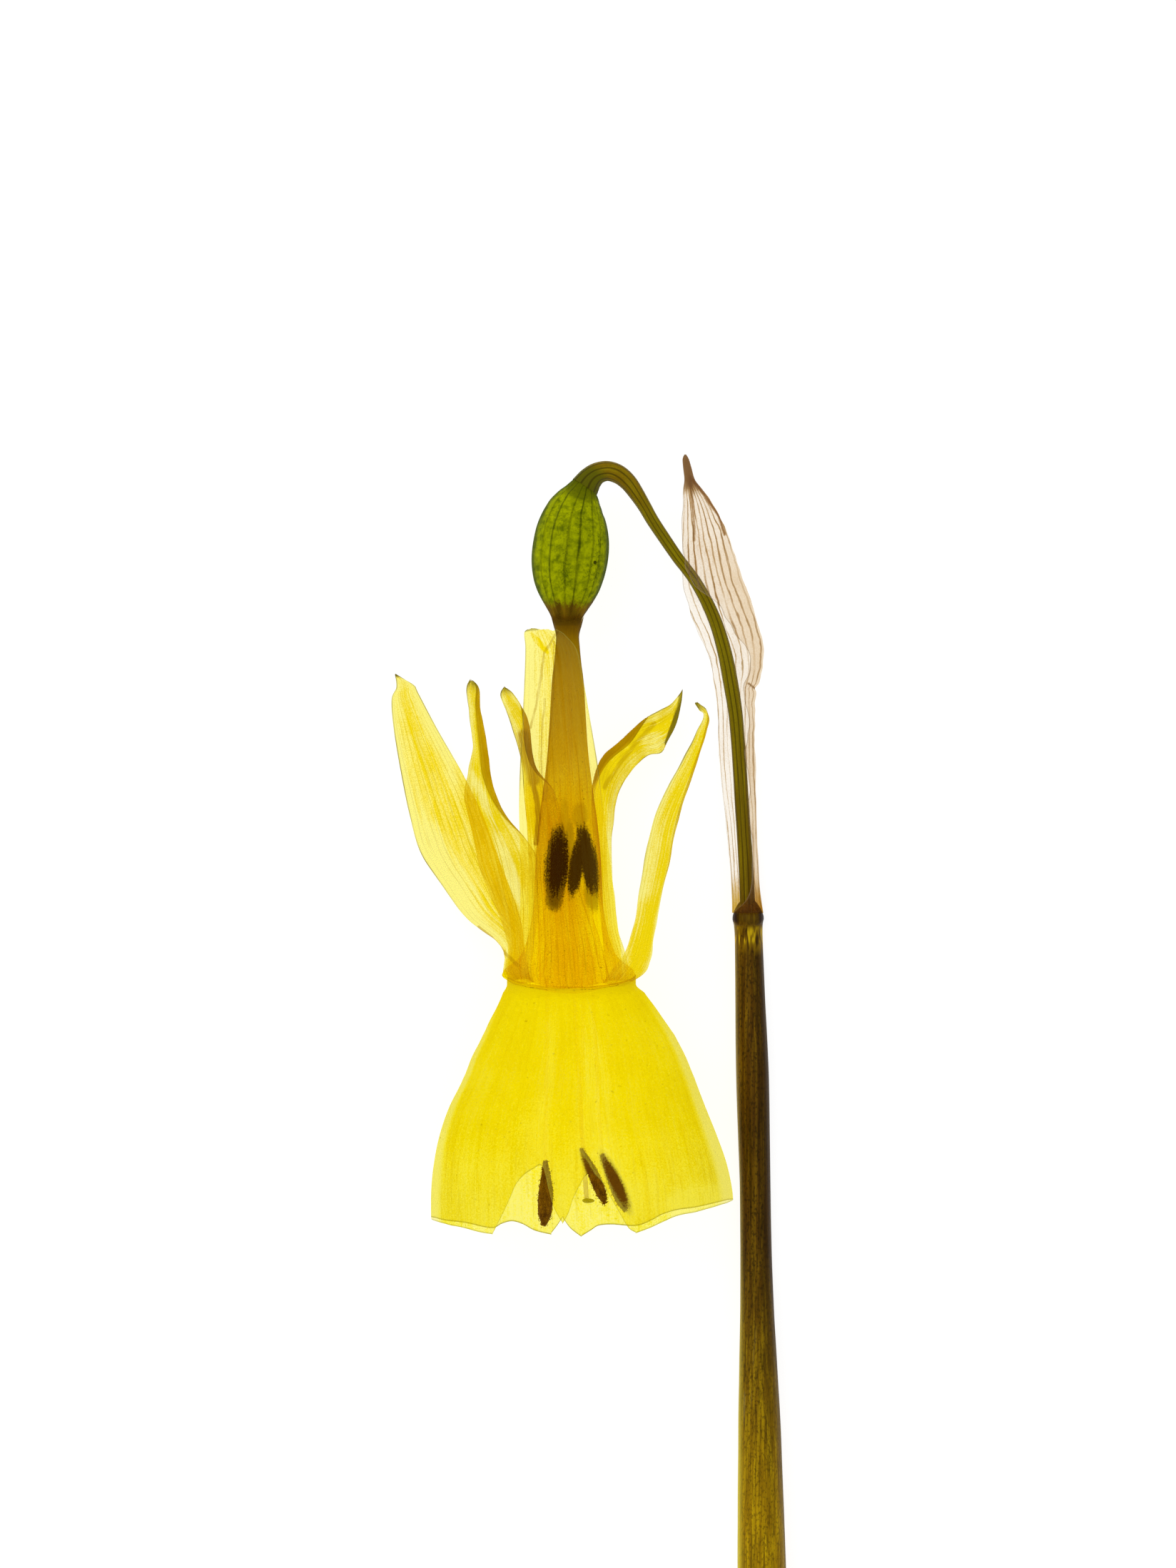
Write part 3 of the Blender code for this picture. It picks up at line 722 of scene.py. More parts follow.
# %% [markdown]
# ## A band between two edges
#
# A wilting tepal rolls its margin in, and the double layer shows as a deeper yellow strip, so the band carries on
# past one edge and turns back under itself. Its middle sinks a little along the midrib, and ripples grow towards
# the margins. Cloth simulation would ripple it too, but not twice in the same way.

# %% A band between two edges


def band(stations, columns, rows, seed, wave=0.12):
    """Across the band, left + (right - left) w + normal * bulge * 4 w (1 - w). Past the side that has a hem, w
    turns back under the band. Ripples grow towards the margins."""
    u, v = grid(columns, rows)
    left, right, shape = np.split(curve(stations, v), (3, 6), axis=-1)
    bulge, hem = shape[..., 0], shape[..., 1]
    span = right - left
    width = np.linalg.norm(span, axis=-1)
    along = np.gradient((left + right) / 2, axis=0)
    normal = unit(np.cross(span, along))
    turned = np.abs(hem)
    path = u * (width + turned)
    path = np.where(hem < 0, width + turned - path, path)
    under = np.clip(path - width, 0, None)
    w = (path - 2 * under) / width
    strip = soft(1.0, 0.8, (1 - w) * width / np.maximum(turned, 0.01)) * soft(0.05, 0.3, turned)
    w = np.where(hem < 0, 1 - w, w)
    lift = bulge * 4 * w * (1 - w) - 0.16 * (1 - np.exp(-under / 0.10))
    far = np.abs(2 * w - 1) ** 2
    ends = soft(0, 0.12, v) * soft(1, 0.9, v)
    lift = lift + wave * far * ends * ripple(v * 34, w * 3, seed) + 0.05 * ends * ripple(w * 9, v * 9, seed + 1)
    lift = lift - 0.10 * np.exp(-(((w - 0.5) / 0.09) ** 2)) * ends
    points = left + span * w[..., None] + normal * lift[..., None]
    points[..., 1] += 0.10 * soft(0.90, 1, v) * ripple(u * 16, 0, seed + 2)
    points[..., 2] = np.maximum(points[..., 2], 0.06)
    length = path_length(points[:, columns // 2])
    edge = np.minimum(np.minimum(u, 1 - u) * (width + turned), (1 - v) * length)
    return points, edge, strip


first = TEPALS["tepal_top"]
print("the top tepal is", round(path_length(np.array(first)[:, :3]), 1), "mm long on its left edge")

# %% [markdown]
# ## Marks on the tepals
#
# No two petals of a flower are alike. These tables say how each one differs: how deep its yellow is and where it
# browned, the creases that were pressed into it and the painted shade along them, what dried at its tip, and
# patches where it lies over or under a neighbour. Keeping them in tables leaves one finish for all six.

# %% Marks on the tepals
TINTS = {  # how deep the yellow is, how browned, where the olive tip starts, and how brown the base is
    "tepal_top": (-0.34, 0.10, 0.95, 0.0), "tepal_upper_left": (0.15, 0.35, 0.88, 0.4),
    "tepal_lower_left": (-0.04, 0.0, 0.97, 0.8), "tepal_bottom": (0.35, 0.55, 0.86, 0.0),
    "tepal_lower_right": (0.58, 0.66, 0.95, 0.0), "tepal_upper_right": (0.20, 0.12, 0.86, 0.6),
}
# Painted shade along the creases, where the folded sheet turns.
FOLDS = {  # X, Y of a crease's points, its width, and its strength
    "tepal_top": [([(-0.97, 29.66), (-2.04, 27.8), (-2.24, 26.0), (-2.72, 23.5), (-3.2, 21.6)], 0.18, 0.35),
                  ([(-1.2, 28.8), (-1.35, 24.0), (-1.8, 17.2)], 0.13, 0.3),
                  ([(-2.0, 24.0), (-2.3, 19.0), (-2.1, 15.5)], 0.13, 0.3)],
    "tepal_lower_left": [([(-7.6, 4.8), (-6.4, 3.8), (-5.2, 2.5), (-4.2, 1.6)], 0.24, 0.5)],
    "tepal_bottom": [([(-3.8, 21.0), (-3.35, 18.9), (-3.0, 17.2)], 0.85, 0.9),
                     ([(-3.2, 18.0), (-2.80, 16.0), (-2.55, 14.0), (-2.80, 11.9)], 0.35, 0.9)],
    "tepal_lower_right": [([(3.0, 16.6), (4.3, 18.6), (5.7, 20.4), (7.2, 22.0)], 0.30, 0.35)],
}
TIPS = {  # the same for what dried to olive at a tip
    "tepal_top": [([(-3.75, 29.75), (-3.2, 29.85), (-2.6, 29.9)], 0.22)],
    "tepal_lower_right": [([(9.5, 24.6), (9.3, 23.4), (8.75, 21.6), (8.25, 20.4)], 0.36)],
}
PATCHES = {  # middle, half-sizes and slant of a patch, and how much deeper its yellow is, or paler below 0. The first
    # one is where the tepal is under or over another one, so that it has neither pale margin nor outline there.
    "tepal_lower_left": [((-6.3, 11.0), (1.4, 7.5), -0.383, 0.75), ((-11.0, 10.0), (2.3, 7.2), -0.62, -0.75)],
    "tepal_upper_left": [((-7.15, 10.2), (0.85, 6.6), -0.27, 0.45), ((-7.25, 15.8), (0.45, 2.4), -0.40, -0.9),
                         ((-5.0, 9.8), (0.6, 3.8), -0.37, -0.9), ((-7.9, 19.5), (0.35, 3.0), 0.0, 0.4)],
    "tepal_bottom": [((-3.0, 15.0), (0.9, 2.8), 0.0, 0.5)],
    "tepal_lower_right": [((7.2, 20.5), (1.2, 0.8), 0.2, -0.8)],
    "tepal_upper_right": [((5.9, 4.2), (1.1, 3.2), 0.15, 0.5), ((9.6, 18.0), (0.5, 5.0), 0.45, 0.4)],
}
print("creases:", sum(map(len, FOLDS.values())), "patches:", sum(map(len, PATCHES.values())))

# %% [markdown]
# ## The six tepals
#
# One loop makes all six. The top one lies over the dark tube and lets more light through than the others, so its
# cover, the share of light that does not go straight through, is lower.

# %% The six tepals
for number, (name, stations) in enumerate(TEPALS.items()):
    points, edge, strip = band(stations, 72, 260, seed=number)
    cover = TOP_COVER if name == "tepal_top" else COVER
    lines = [marks.get(name, ()) for marks in (FOLDS, TIPS, PATCHES)]
    finish = petal_finish(name, *TINTS[name], cover, 7.0 * number, *lines)
    make_piece(name + "_film", points, finish, "tepal", nodes=[name], edge=edge, strip=strip)

# %% [markdown]
# ## The perianth tube
#
# Below the tepals their bases are joined into one long tube, narrow at its neck, which opens into a short flared
# collar. It is a round profile carried along a straight line and pressed a little oval. The collar's lip runs lower
# in the middle than at its sides. A lathe, Blender's Screw modifier, would turn the profile, but neither the oval
# nor the lip is round.

# %% Tube shape
AXIS_HEIGHT, AXIS_SLOPE = 7.2, 0.035
TUBE_LENGTH = 31  # in millimetres, from the rim back to the ovary
TUBE = [  # Y, half-width, height over width
    (31.6, 1.50, 1.0), (30.9, 1.36, 1.0), (30.2, 1.18, 1.0), (29.4, 0.98, 1.0), (28.4, 1.03, 0.98),
    (27.0, 1.16, 0.95), (25.4, 1.36, 0.92), (22.6, 1.52, 0.88), (19.6, 1.72, 0.86), (16.8, 2.05, 0.86),
    (14.2, 2.40, 0.86), (11.6, 2.66, 0.86), (9.0, 2.80, 0.86), (6.4, 2.92, 0.86), (4.4, 3.28, 0.86),
    (3.0, 3.72, 0.86), (1.9, 4.25, 0.86), (1.1, 4.85, 0.86), (0.5, 5.35, 0.86), (0.0, 5.55, 0.86),
]


def axis_height(y):
    """Height of the flower's axis above the table: it drops slightly towards the ovary."""
    return AXIS_HEIGHT - AXIS_SLOPE * y


def collar_lip(angle):
    """How far the lip is from the rim's middle at each angle round it: 0.85 - 1.2 |sin a|."""
    return 0.85 - 1.2 * np.abs(np.sin(angle))


def tube_shape(columns=180, rows=260):
    """x = width cos a, z = axis + depth sin a, and towards the rim y moves by the lip's 0.85 - 1.2 |sin a|."""
    u, v = grid(columns, rows)
    y, width, flat = np.moveaxis(curve(TUBE, v), -1, 0)
    angle = 2 * math.pi * u
    uneven = 1 + 0.012 * ripple(np.cos(angle) * 3 + y * 0.2, np.sin(angle) * 3, 21)
    uneven = uneven + 0.012 * np.cos(6 * angle) * soft(14, 2, y)
    near_rim = soft(3.0, 0.0, y)
    y = y + near_rim * (collar_lip(angle) + 0.05 * ripple(angle * 3, 0, 22))
    edge = (1 - v) * TUBE_LENGTH
    y = y + soft(1.0, 0.0, edge) * 0.07 * ripple(angle * 11, 0, 23)
    x = -0.1 * np.clip(y / 30, 0, 1) + width * uneven * np.cos(angle)
    return np.stack([x, y, axis_height(y) + width * flat * uneven * np.sin(angle)], axis=-1), edge


tube_points, tube_edge = tube_shape()
print("the tube is", round(np.ptp(tube_points[..., 0]), 1), "mm wide at its collar")

# %% [markdown]
# ## The tube's finish
#
# The wall is golden, brown at the neck and towards the ovary, and darker at both sides, which is painted shade
# where the wall turns edge-on. Three anthers lie inside it, and painted shade darkens the wall over them, with a
# softer painted shade around them. These shades are ovals in the plan, which land on the wall from above, so no
# image has to be wrapped round the tube.

# %% Tube finish
STAINS = [  # middle, half-sizes, slant, and how dark: painted shade where three anthers lie behind the wall, fainter round them
    ((-1.00, 10.1), (1.00, 3.4), 0.07, 1.0), ((0.62, 10.0), (0.62, 2.6), 0.12, 0.95),
    ((1.60, 10.6), (0.78, 3.1), -0.18, 0.94), ((-1.24, 7.2), (0.75, 1.1), 0.0, 0.65),
    ((1.90, 7.6), (0.60, 1.5), -0.15, 0.40), ((0.93, 14.2), (0.70, 1.2), 0.0, 0.25),
    ((-0.35, 14.0), (0.45, 1.8), 0.0, 0.20), ((0.05, 12.0), (0.45, 2.0), 0.0, 0.35),
]


def tube_finish():
    """Golden, browner to the neck, and darker at both sides with painted shade. Painted shade darkens the wall over
    the short anthers behind it.
    """
    finish = Finish("tube gold")
    u, v = finish.across_and_along()
    x, y = finish.plan()
    streak = finish.pattern(u * 30.0, v * 2.0, 0.0, 5.0, 0.7)
    thin = finish.pattern(u * 90.0, v * 3.0, 8.0, 3.0, 0.6)
    broad = finish.pattern(u * 8.0, v * 3.0, 4.0, 2.0)
    grain = finish.cloud(*GRAIN)
    speck = finish.cloud(0.26, 1.0).ramp(0.73, 0.77)
    edge = finish.number("edge")
    neck = v.ramp(0.50, 0.08)
    golden = v.ramp(0.78, 0.22)
    # Painted shade: both sides of the tube, where the wall turns edge-on, are deeper and browner.
    sides = u.off_side().ramp(0.17, 0.0)
    lip = edge.ramp(0.40, 0.05)
    dots = finish.cloud(0.24, 1.0).ramp(0.56, 0.66) * edge.ramp(0.55, 0.1)
    # Painted shade: dark ovals over the anthers that lie behind the wall, a softer painted shade round them, and noise
    # that roughens their edges.
    smear = (streak - 0.5) * 2.0 + (grain - 0.5) * 1.8
    stain = strongest([(oval(x, y, middle, half, slant) + smear).ramp(1.25, 0.50) * dark
                       for middle, half, slant, dark in STAINS])
    haze = (oval(x, y, (0.4, 10.6), (2.9, 5.4)) + smear).ramp(1.4, 0.2) * sides.ramp(0.0, 0.6, 0.35, 1.0)
    under = (y + (grain - 0.5) * 1.6 + (broad - 0.5) * 0.8).ramp(28.4, 30.9)
    # Painted shade, darkest at both sides near the neck.
    bruise = (sides * 1.6).within() * (y + (broad - 0.5) * 2.0).ramp(26.8, 29.4)
    start = (v + (broad - 0.5) * 0.05 + (grain - 0.5) * 0.02).ramp(0.095, 0.025)
    depth = golden * 0.52 + sides * 0.25 + (streak - 0.5) * 1.3 + (broad - 0.5) * 0.7 + (grain - 0.5) * 0.9 - 0.06
    depth = (depth + neck * 0.9 + lip * 0.3 + haze * 0.35).within()
    share = 0.10 + neck * 0.42 + golden * 0.05 + (grain - 0.5) * 0.14 + lip * 0.25 + (dots + speck) * 0.45
    share = (share + stain * 0.95 + haze * 0.10 + under * 0.30 + bruise * 0.45) * (1.0 - start)
    clear = ((1.0, 0.94, 0.012), (0.70, 0.50, 0.004))
    glow = ((0.98, 0.77, 0.004), (0.56, 0.38, 0.003))
    dull = (stain * 1.5 + neck * 0.6 + lip * 0.5 + speck + dots).within()
    # A darker tint: painted shade round the anthers and at the sides, with the streaks, the lip and the golden half.
    shade = (haze * 0.50 + sides * golden * 0.15 + (thin - 0.54).ramp(0.0, 0.09) * 0.16 + lip * 0.3
             + golden * 0.3).within()
    tints = [(shade, (0.87, 0.58, 0.004)), (v.ramp(0.60, 0.30) * v.ramp(0.10, 0.22), (0.67, 0.515, 0.002)),
             (start, (1.0, 1.0, 1.0))]
    colour = finish.layers(
        (0.93, 0.70, 0.004), (golden, (0.54, 0.37, 0.003)), (streak.lift(0.42, 2.6) * 0.5, (0.60, 0.38, 0.003)),
        (haze * 0.55, (0.50, 0.22, 0.003)), (neck, (0.23, 0.135, 0.003)), (under * 0.65, (0.12, 0.060, 0.002)),
        (bruise * 0.8, (0.10, 0.045, 0.002)), ((thin - 0.56).ramp(0.0, 0.1) * 0.4, (0.40, 0.22, 0.003)),
        (lip * 0.6, (0.42, 0.20, 0.003)), ((dots + speck).within() * 0.85, (0.13, 0.05, 0.003)),
        (stain, (0.045, 0.007, 0.001)),
    )
    return film(finish, depth, share.within(0.02, 0.985), colour, streak + grain * 0.4, clear, glow, dull, tints)


make_piece("tube_film", tube_points, tube_finish(), "tube", nodes=["perianth_tube"], around=True, edge=tube_edge)

# %% [markdown]
# ## The corona's outline
#
# The skirt in front of the tepals is the corona, one thin sheet that grew as a ring. Its cross-section is an oval
# whose size follows a short list of stations, and its rim follows a list of points: the upper side first, with two
# deep clefts and a narrow flap between them, then the lower side. A point that is listed twice makes a sharp
# corner, which a smooth curve would otherwise round off.

# %% Corona outline
CORONA = [  # Y, X of the middle, half-width
    (0.0, 0.15, 5.50), (-0.6, 0.33, 6.03), (-1.8, 0.51, 6.75), (-3.0, 0.60, 7.50), (-4.2, 0.72, 8.22),
    (-6.0, 0.72, 9.15), (-7.8, 0.72, 9.90), (-10.2, 0.57, 10.95), (-12.6, 0.63, 11.85), (-15.0, 0.80, 12.52),
    (-17.4, 0.95, 12.87), (-21.5, 1.05, 12.95),
]
CORONA_FLATNESS = (0.84, 0.60)  # depth over width, at the foot and from FLAT_FROM on
FLAT_FROM, CORONA_LENGTH = 17.4, 21.5
RIM_UPPER = [
    (13.84, -18.0), (13.84, -18.0), (12.2, -18.45), (10.6, -18.85), (9.2, -19.1), (8.0, -19.55), (7.0, -20.0),
    (5.64, -20.5), (5.64, -20.5), (5.0, -20.1), (4.4, -19.1), (3.6, -17.7), (2.9, -16.4), (2.35, -15.75),
    (1.86, -15.5), (1.4, -15.75), (1.1, -16.2), (0.4, -17.6), (0.0, -18.8), (-0.48, -19.7), (-0.48, -19.7),
    (-1.2, -18.4), (-1.68, -16.7), (-2.0, -15.3), (-2.34, -14.85), (-2.85, -15.1), (-3.7, -15.65), (-4.4, -16.5),
    (-4.9, -17.6), (-5.6, -19.1), (-6.36, -20.64), (-6.36, -20.64), (-7.4, -20.5), (-8.76, -20.16), (-9.8, -20.0),
    (-11.4, -19.62), (-11.4, -19.62),
]
RIM_LOWER = [
    (-11.45, -19.55), (-10.4, -19.9), (-8.76, -20.16), (-7.4, -20.5), (-6.36, -20.64), (-5.64, -20.3),
    (-4.8, -20.1), (-3.9, -20.35), (-2.9, -20.9), (-1.56, -21.24), (-1.56, -21.24), (-1.0, -20.5), (-0.54, -19.8),
    (-0.54, -19.8), (0.1, -20.7), (1.02, -21.42), (1.02, -21.42), (1.86, -20.9), (2.52, -20.5), (3.7, -20.4),
    (5.64, -20.5), (7.0, -20.0), (7.9, -19.5), (9.2, -19.1), (10.7, -18.85), (12.2, -18.45), (13.84, -18.0),
]
print("points round the rim:", len(RIM_UPPER) + len(RIM_LOWER))

# %% [markdown]
# ## The corona's shape
#
# Each column of the grid starts at the tube's collar and runs to one point of the rim, so the columns end just
# where the rim is cut. Cutting clefts out of a full bell with a Boolean would leave ragged faces at their edges.

# %% Corona shape


def corona_shape(steps=9, rows=156):
    """For each rim point cos a = (x - middle) / width, with a above the table on the upper side and below it on the
    lower side. Columns run from the foot to the rim at that angle."""
    upper = curve(RIM_UPPER, np.linspace(0, 1, (len(RIM_UPPER) - 1) * steps + 1))[:-1]
    lower = curve(RIM_LOWER, np.linspace(0, 1, (len(RIM_LOWER) - 1) * steps + 1))
    rim = np.vstack([upper, lower])
    by_y = np.array(CORONA)[::-1]
    middle, width = (np.interp(rim[:, 1], by_y[:, 0], by_y[:, at]) for at in (1, 2))
    side = np.arccos(np.clip((rim[:, 0] - middle) / width, -1, 1))
    angle = np.maximum.accumulate(np.concatenate([side[: len(upper)], 2 * math.pi - side[len(upper):]]))
    _, v = grid(len(rim) - 1, rows)
    foot = collar_lip(angle) + 0.13
    y = foot + (rim[:, 1] - foot) * v
    t = np.interp(-y, -by_y[::-1, 0], np.linspace(0, 1, len(by_y)))
    middle, width = np.moveaxis(curve(np.array(CORONA)[:, 1:], t), -1, 0)
    frill = soft(0.55, 1, v) * 0.10 * ripple(angle * 9, v * 2, 31)
    pleat = 0.05 * ripple(angle * 26, v * 1.5, 32, octaves=2) * soft(0, 0.3, v)
    width = width + frill + pleat
    flat = CORONA_FLATNESS[0] + (CORONA_FLATNESS[1] - CORONA_FLATNESS[0]) * np.clip(-y / FLAT_FROM, 0, 1)
    z = axis_height(y) + width * flat * np.sin(angle)
    lowest = 0.05 + 0.02 * np.clip(-y / CORONA_LENGTH, 0, 1)
    points = np.stack([middle + width * np.cos(angle), y, np.maximum(z, lowest)], axis=-1)
    return points, (1 - v) * np.abs(rim[:, 1] - foot), angle / (2 * math.pi)


corona_points, corona_edge, corona_turn = corona_shape()
print("the corona is", round(np.ptp(corona_points[..., 0]), 1), "mm wide")

# %% [markdown]
# ## The corona's finish
#
# The corona is the deepest yellow of the flower. It pales towards the mouth, along both pressed sides, where two
# layers lie close, and along two creases on the upper side. Just inside those pale sides it is darker, which is
# painted shade where the wall turns edge-on. Fine fibres run down it, and two ovals of painted shade, over the long
# anthers behind it, are its only brown. The finish is another film, with numbers of its own.

# %% Corona finish
LEFT_CREASE, RIGHT_CREASE = 104.5 / 360, 81.0 / 360  # as shares of a turn
# Painted shade over the two long anthers, on the corona's upper side.
CORONA_STAINS = [((3.95, -16.3), (0.70, 2.7)), ((2.04, -16.0), (0.42, 2.4))]  # middle and half-sizes


def corona_finish():
    """depth falls towards the mouth, along both pressed sides and along two pale creases on the upper side."""
    finish = Finish("corona yellow")
    _, v = finish.across_and_along()
    x, y = finish.plan()
    turn, edge = finish.number("turn"), finish.number("edge")
    sway = finish.pattern(turn * 8.0, v * 2.0, detail=2.0) - 0.5
    streak = finish.pattern(turn * 110.0, v * 2.0, 0.0, 5.0, 0.7)
    thin = finish.pattern(turn * 330.0, v * 3.0, 3.0, 3.0, 0.6)
    broad = finish.pattern(turn * 30.0, v * 1.4, 5.0)
    blotch = finish.cloud(4.0, 2.0)
    grain = finish.cloud(*GRAIN)
    first = (turn + sway * 0.006).near(LEFT_CREASE, 0.014, 0.003)
    second = (turn + sway * 0.010).near(RIGHT_CREASE, 0.030, 0.006) * v.ramp(0.0, 0.35, 0.35, 1.0)
    creases = (first * 0.9 + second).within() * v.ramp(0.02, 0.2) * v.ramp(1.0, 0.74)
    creases = creases * (thin * 0.6 + streak * 0.6).ramp(0.52, 0.70)
    sides = turn.off_side()
    strip = sides.ramp(0.150, 0.110) * v.ramp(0.05, 0.35) * 0.75 - sides.ramp(0.050, 0.010) * 0.35
    low = v.ramp(0.48, 0.95)
    depth = 0.98 + (streak - 0.5) * 1.9 + (broad - 0.5) * 0.8 + (blotch - 0.5) * 1.0 + (grain - 0.5) * 2.4
    depth = depth + v.ramp(0.3, 0.0) * 0.25 - creases * 1.0 - low * 0.68 - strip * 1.2
    depth = depth - (thin - 0.58).ramp(0.0, 0.1) * 0.25
    foot = (v + (broad - 0.5) * 0.12 + (grain - 0.5) * 0.03).ramp(0.055, 0.035)
    corner = oval(x, y, (11.6, -18.4), (3.6, 1.9)).ramp(1.3, 0.5)
    depth = (depth + foot * 0.4 - corner * 0.35).within()
    pale, deep = (0.98, 0.92, 0.16), (0.98, 0.83, 0.003)
    fibre = (thin - 0.54).ramp(0.0, 0.10) * (low * 0.7 + 0.15)
    outline = edge.ramp(0.17, 0.04)
    speck = finish.cloud(0.35, 1.0).ramp(0.745, 0.78)
    # Painted shade: brown ovals where the long anthers lie under the upper side.
    stain = strongest([(oval(x, y, middle, half, -0.45) + (grain - 0.5) * 1.2).ramp(1.4, 0.3)
                       for middle, half in CORONA_STAINS]) * turn.ramp(0.5, 0.49)
    share = 0.24 + outline * 0.34 + (grain - 0.5) * 0.30 + speck * 0.2 + v.ramp(0.03, 0.0) * 0.3
    share = share + stain * 0.55 + v.ramp(0.75, 0.50) * 0.08 + turn.ramp(0.49, 0.52) * 0.20 + foot * 0.2
    clear = ((0.99, 0.93, 0.24), (1.0, 0.93, 0.004))
    dull = (outline + speck + stain).within()
    # shade darkens the film: painted shade towards both sides, where the wall turns edge-on, and real streaks, blotches
    # and grain.
    shade = (sides.ramp(0.42, 0.12) * 0.22 + (streak - 0.50).most(0.0) * 2.4 + (broad - 0.5) * 0.8
             + (blotch - 0.5) * 1.2 + (grain - 0.5) * 1.6 + fibre * 0.6 - corner * 0.4 - creases - strip * 1.4).within()
    tints = [(shade, (0.86, 0.745, 0.009)), ((creases * 0.9 + strip * 0.8).within(), (1.0, 0.97, 0.60))]
    share = (share - creases * 0.1).within(0.02, 0.95)
    colour = finish.layers(
        pale, (depth, deep), (fibre, (0.55, 0.46, 0.01)), (streak.lift(0.52, 4.0) * 0.35, (0.80, 0.56, 0.003)),
        (outline * 0.8, (0.46, 0.40, 0.03)), (speck * 0.5, (0.45, 0.30, 0.01)), (stain, (0.20, 0.075, 0.002)),
    )
    return film(finish, depth, share, colour, streak + grain * 0.3, clear, (pale, deep), dull, tints)


make_piece("corona_film", corona_points, corona_finish(), "corona", nodes=["corona"], around=True, edge=corona_edge,
           turn=corona_turn)

# %% [markdown]
# ## Round pieces along a path
#
# The stem, the flower stalk, the ovary, the stamens and the style are all a round section carried along a curved
# path. At each step two directions at right angles to the path are worked out, and the ring of points is laid out
# on them. A bevelled curve object makes the same tube, but its section can't change along the way.

# %% The sweep


def sweep(stations, columns, rows, section=None):
    """Path + (across cos a + up sin a) r, where across is at right angles to the path and level, and up is at right
    angles to both. A station is X, Y, Z and r, and section(a, v) scales r."""
    u, v = grid(columns, rows)
    values = curve(stations, v)
    path, radius = values[..., :3], values[..., 3]
    along = unit(np.gradient(path, axis=0))
    across = unit(np.cross(along, (0.0, 0.0, 1.0)))
    up = np.cross(across, along)
    angle = 2 * math.pi * u
    if section is not None:
        radius = radius * section(angle, v)
    return path + (across * np.cos(angle)[..., None] + up * np.sin(angle)[..., None]) * radius[..., None]


def lying(points, lowest=0.0):
    """Presses flat what would be below the table."""
    points[..., 2] = np.maximum(points[..., 2], lowest)
    return points


hoop = sweep([(0, 0, 0, 1), (0, 5, 0, 1)], 8, 2)
print("a plain sweep is", round(np.ptp(hoop[..., 0]), 3), "wide")

# %% [markdown]
# ## Stem
#
# The stem of this kind is nearly round, with a few faint ridges, and fatter lower down. It starts at a joint and is
# cut across at the bottom, where the hollow core shows. The cut is part of the same sweep: the ring of points
# shrinks to the bore's size, runs up inside the bore and closes. A Boolean could drill the bore, but it would break
# the grid that the finish follows.

# %% Stem shape
STEM = [
    (16.50, -63.5, 2.10), (16.38, -56.0, 2.06), (16.30, -49.0, 2.02), (16.20, -43.0, 1.90), (16.10, -37.0, 1.76),
    (16.00, -32.0, 1.58), (15.90, -27.0, 1.40), (15.82, -22.0, 1.31), (15.75, -17.0, 1.29), (15.66, -13.0, 1.33),
    (15.55, -8.5, 1.37), (15.45, -5.0, 1.33), (15.35, -1.5, 1.25), (15.22, 3.4, 1.17), (15.18, 4.9, 1.20),
    (15.16, 5.5, 1.31), (15.15, 6.0, 1.22), (15.14, 6.4, 0.98), (15.13, 6.6, 0.68),
]
STEM_REST = 0.90  # height of the middle over the radius: less than 1, because the underside is pressed flat
CUT_SLANT, BORE, BORE_DEPTH = 0.35, 0.75, 4.0
CUT_FACE = np.array([0.0, 0.15, 0.5, 0.80, 0.94, 1.0])  # where the rings of the cut face are, from rim to bore
BORE_RINGS, FADE_RINGS = 8, 11


def stem_shape(columns=80, rows=480):
    """A swept round section with shallow ridges, 1 + 0.012 cos 7a + 0.01 cos 2a, then the cut face and the bore."""
    centre = [(x, y, STEM_REST * r, r) for x, y, r in STEM]

    def ridges(angle, v):
        return 1 + 0.012 * np.cos(7 * angle + 1) + 0.010 * np.cos(2 * angle) + 0.006 * ripple(angle * 2, v * 60, 41)

    side = lying(sweep(centre, columns, rows, ridges))
    middle = np.array(centre[0][:3])
    inner = middle + (side[0] - middle) * BORE / STEM[0][2]
    face = side[0] + (inner - side[0]) * CUT_FACE[:, None, None]
    deep = inner + np.array([0, 1.0, 0]) * np.linspace(0.2, BORE_DEPTH, BORE_RINGS)[:, None, None]
    points = np.concatenate([deep[::-1], face[:0:-1], side])
    cut = BORE_RINGS + len(CUT_FACE)
    slanted, fading = points[:cut], points[cut:cut + FADE_RINGS]
    slanted[..., 1] += CUT_SLANT * (slanted[..., 0] - middle[0])
    fade = np.linspace(1, 0, FADE_RINGS + 1)[1:, None]
    fading[..., 1] += fade * CUT_SLANT * (fading[..., 0] - middle[0])
    return points


stem_points = stem_shape()
print("the stem is", round(np.ptp(stem_points[..., 1]), 1), "mm long")

# %% [markdown]
# ## The stem's finish
#
# Near the flower the stem is dark olive brown, and it clears to olive lower down. Everything on it runs lengthwise,
# so its noise is stretched along Y. A little light comes through where it is olive, and the ring at the joint is
# nearly black. Three grains of different sizes are laid over each other, because one alone looks like plastic.

# %% Stem finish


